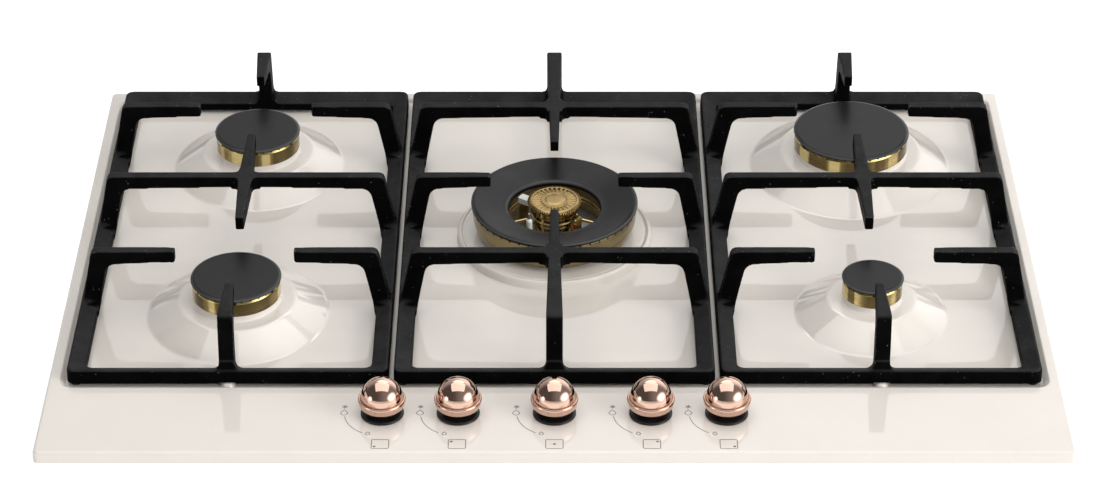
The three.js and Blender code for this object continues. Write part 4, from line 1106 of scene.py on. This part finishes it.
def make_paper():
    """White paper: lit and shadowed as paper, with a glow that only seen and mirrored rays meet."""
    look = Look("floor_paper", Base_Color=(0.72, 0.72, 0.72, 1), Roughness=0.9, Specular_IOR_Level=0.0)
    paths = look.nodes.new("ShaderNodeLightPath")
    seen = paths.outputs["Is Camera Ray"]
    for other in ("Is Glossy Ray", "Is Transmission Ray"):
        seen = look.math("MAXIMUM", seen, paths.outputs[other])
    glow = look.nodes.new("ShaderNodeEmission")
    look.link(look.math("MULTIPLY", seen, PAPER_GLOW), glow.inputs["Strength"])
    add = look.nodes.new("ShaderNodeAddShader")
    look.link(look.shader.outputs[0], add.inputs[0])
    look.link(glow.outputs[0], add.inputs[1])
    look.link(add.outputs[0], look.nodes["Material Output"].inputs["Surface"])
    return look.material


def make_floor():
    """A worktop-level floor with the hob's cut-out, turned up far away into a low wall."""
    cut_out = rectangle(-278.5, -238.5, 278.5, 238.5, 8, 4)
    count = len(cut_out)
    verts = [(p.x * MM, p.y * MM, WORKTOP) for p in cut_out]
    for radius, height in FLOOR_RINGS:
        flat = [Vector((p.x, p.y)).normalized() * radius for p in cut_out]
        verts += [(p.x, p.y, WORKTOP + height) for p in flat]
    faces = []
    for ring in range(len(FLOOR_RINGS)):
        for i in range(count):
            a, b = ring * count + i, ring * count + (i + 1) % count
            faces.append([a, a + count, b + count, b])
    floor = mesh_object("floor", verts, faces)
    floor.data.materials.append(make_paper())
    floor.data.shade_smooth()


def make_studio():
    """Surroundings that differ for mirrored and for other rays, and the lamps."""
    world = bpy.data.worlds.new("studio")
    world.use_nodes = True
    tree = world.node_tree
    split = tree.nodes.new("ShaderNodeSeparateXYZ")
    tree.links.new(tree.nodes.new("ShaderNodeTexCoord").outputs["Generated"], split.inputs[0])
    behind = levels(tree, split.outputs["Y"], 0.25, 0.8, STUDIO_DARK, STUDIO_BACK, "SMOOTHSTEP")
    aside = levels(tree, split.outputs["X"], -0.5, 0.5, 1 - STUDIO_TILT, 1 + STUDIO_TILT, "SMOOTHSTEP")
    glossy = tree.nodes.new("ShaderNodeLightPath").outputs["Is Glossy Ray"]
    mirrored = arithmetic(tree, "MULTIPLY", arithmetic(tree, "MULTIPLY", behind, aside), glossy)
    matt = levels(tree, glossy, 0, 1, STUDIO_AMBIENT, 0)
    background = tree.nodes["Background"]
    tree.links.new(arithmetic(tree, "ADD", mirrored, matt), background.inputs["Strength"])
    background.inputs["Color"].default_value = (1, 1, 1, 1)
    bpy.context.scene.world = world
    for name, values in LAMPS.items():
        make_lamp(name, *values)


def make_camera():
    data = bpy.data.cameras.new("camera")
    data.sensor_width = SENSOR_W
    data.lens = FOCAL / FRAME_W * SENSOR_W
    data.shift_x = CAMERA_SHIFT
    data.clip_end = 60
    camera = bpy.data.objects.new("camera", data)
    camera.location = CAMERA_PLACE
    camera.rotation_euler = (math.radians(90 - CAMERA_TILT), 0, 0)
    bpy.context.collection.objects.link(camera)
    bpy.context.scene.camera = camera
    bpy.context.scene.view_settings.view_transform = "Standard"


make_camera()
dress_carried_nodes()
make_plate()
make_grate("grate_left", -PITCH, False)
make_grate("grate_centre", 0.0, True)
make_grate("grate_right", PITCH, False)
for burner, (bx, by, crown_radius, _) in BURNERS.items():
    make_crown(burner, bx, by, crown_radius)
    make_cap(burner, bx, by, crown_radius)
    make_cup(burner, bx, by, crown_radius)
    rod_place = polar(crown_radius + CONE_LEDGE / 2, ROD_ANGLE, bx, by)
    make_electrode(f"spark_electrode_{burner}", *rod_place, -1.2, LEDGE + 0.3, 24)
make_wok_bowl()
make_wok_ring()
make_wok_core()
make_wok_medallion()
make_wok_inside()
make_wok_cup()
for rod, (rod_angle, rod_look, tip_look, rod_slot, rod_top) in WOK_RODS.items():
    make_electrode(rod, *polar(WOK_ROD_RADIUS, rod_angle, *WOK), -4, 3.1, rod_top, rod_look, tip_look, rod_slot)
for knob, kx in KNOBS.items():
    make_knob(knob, kx)
make_marks()
make_manifold()
make_tray_details()
make_floor()
make_studio()
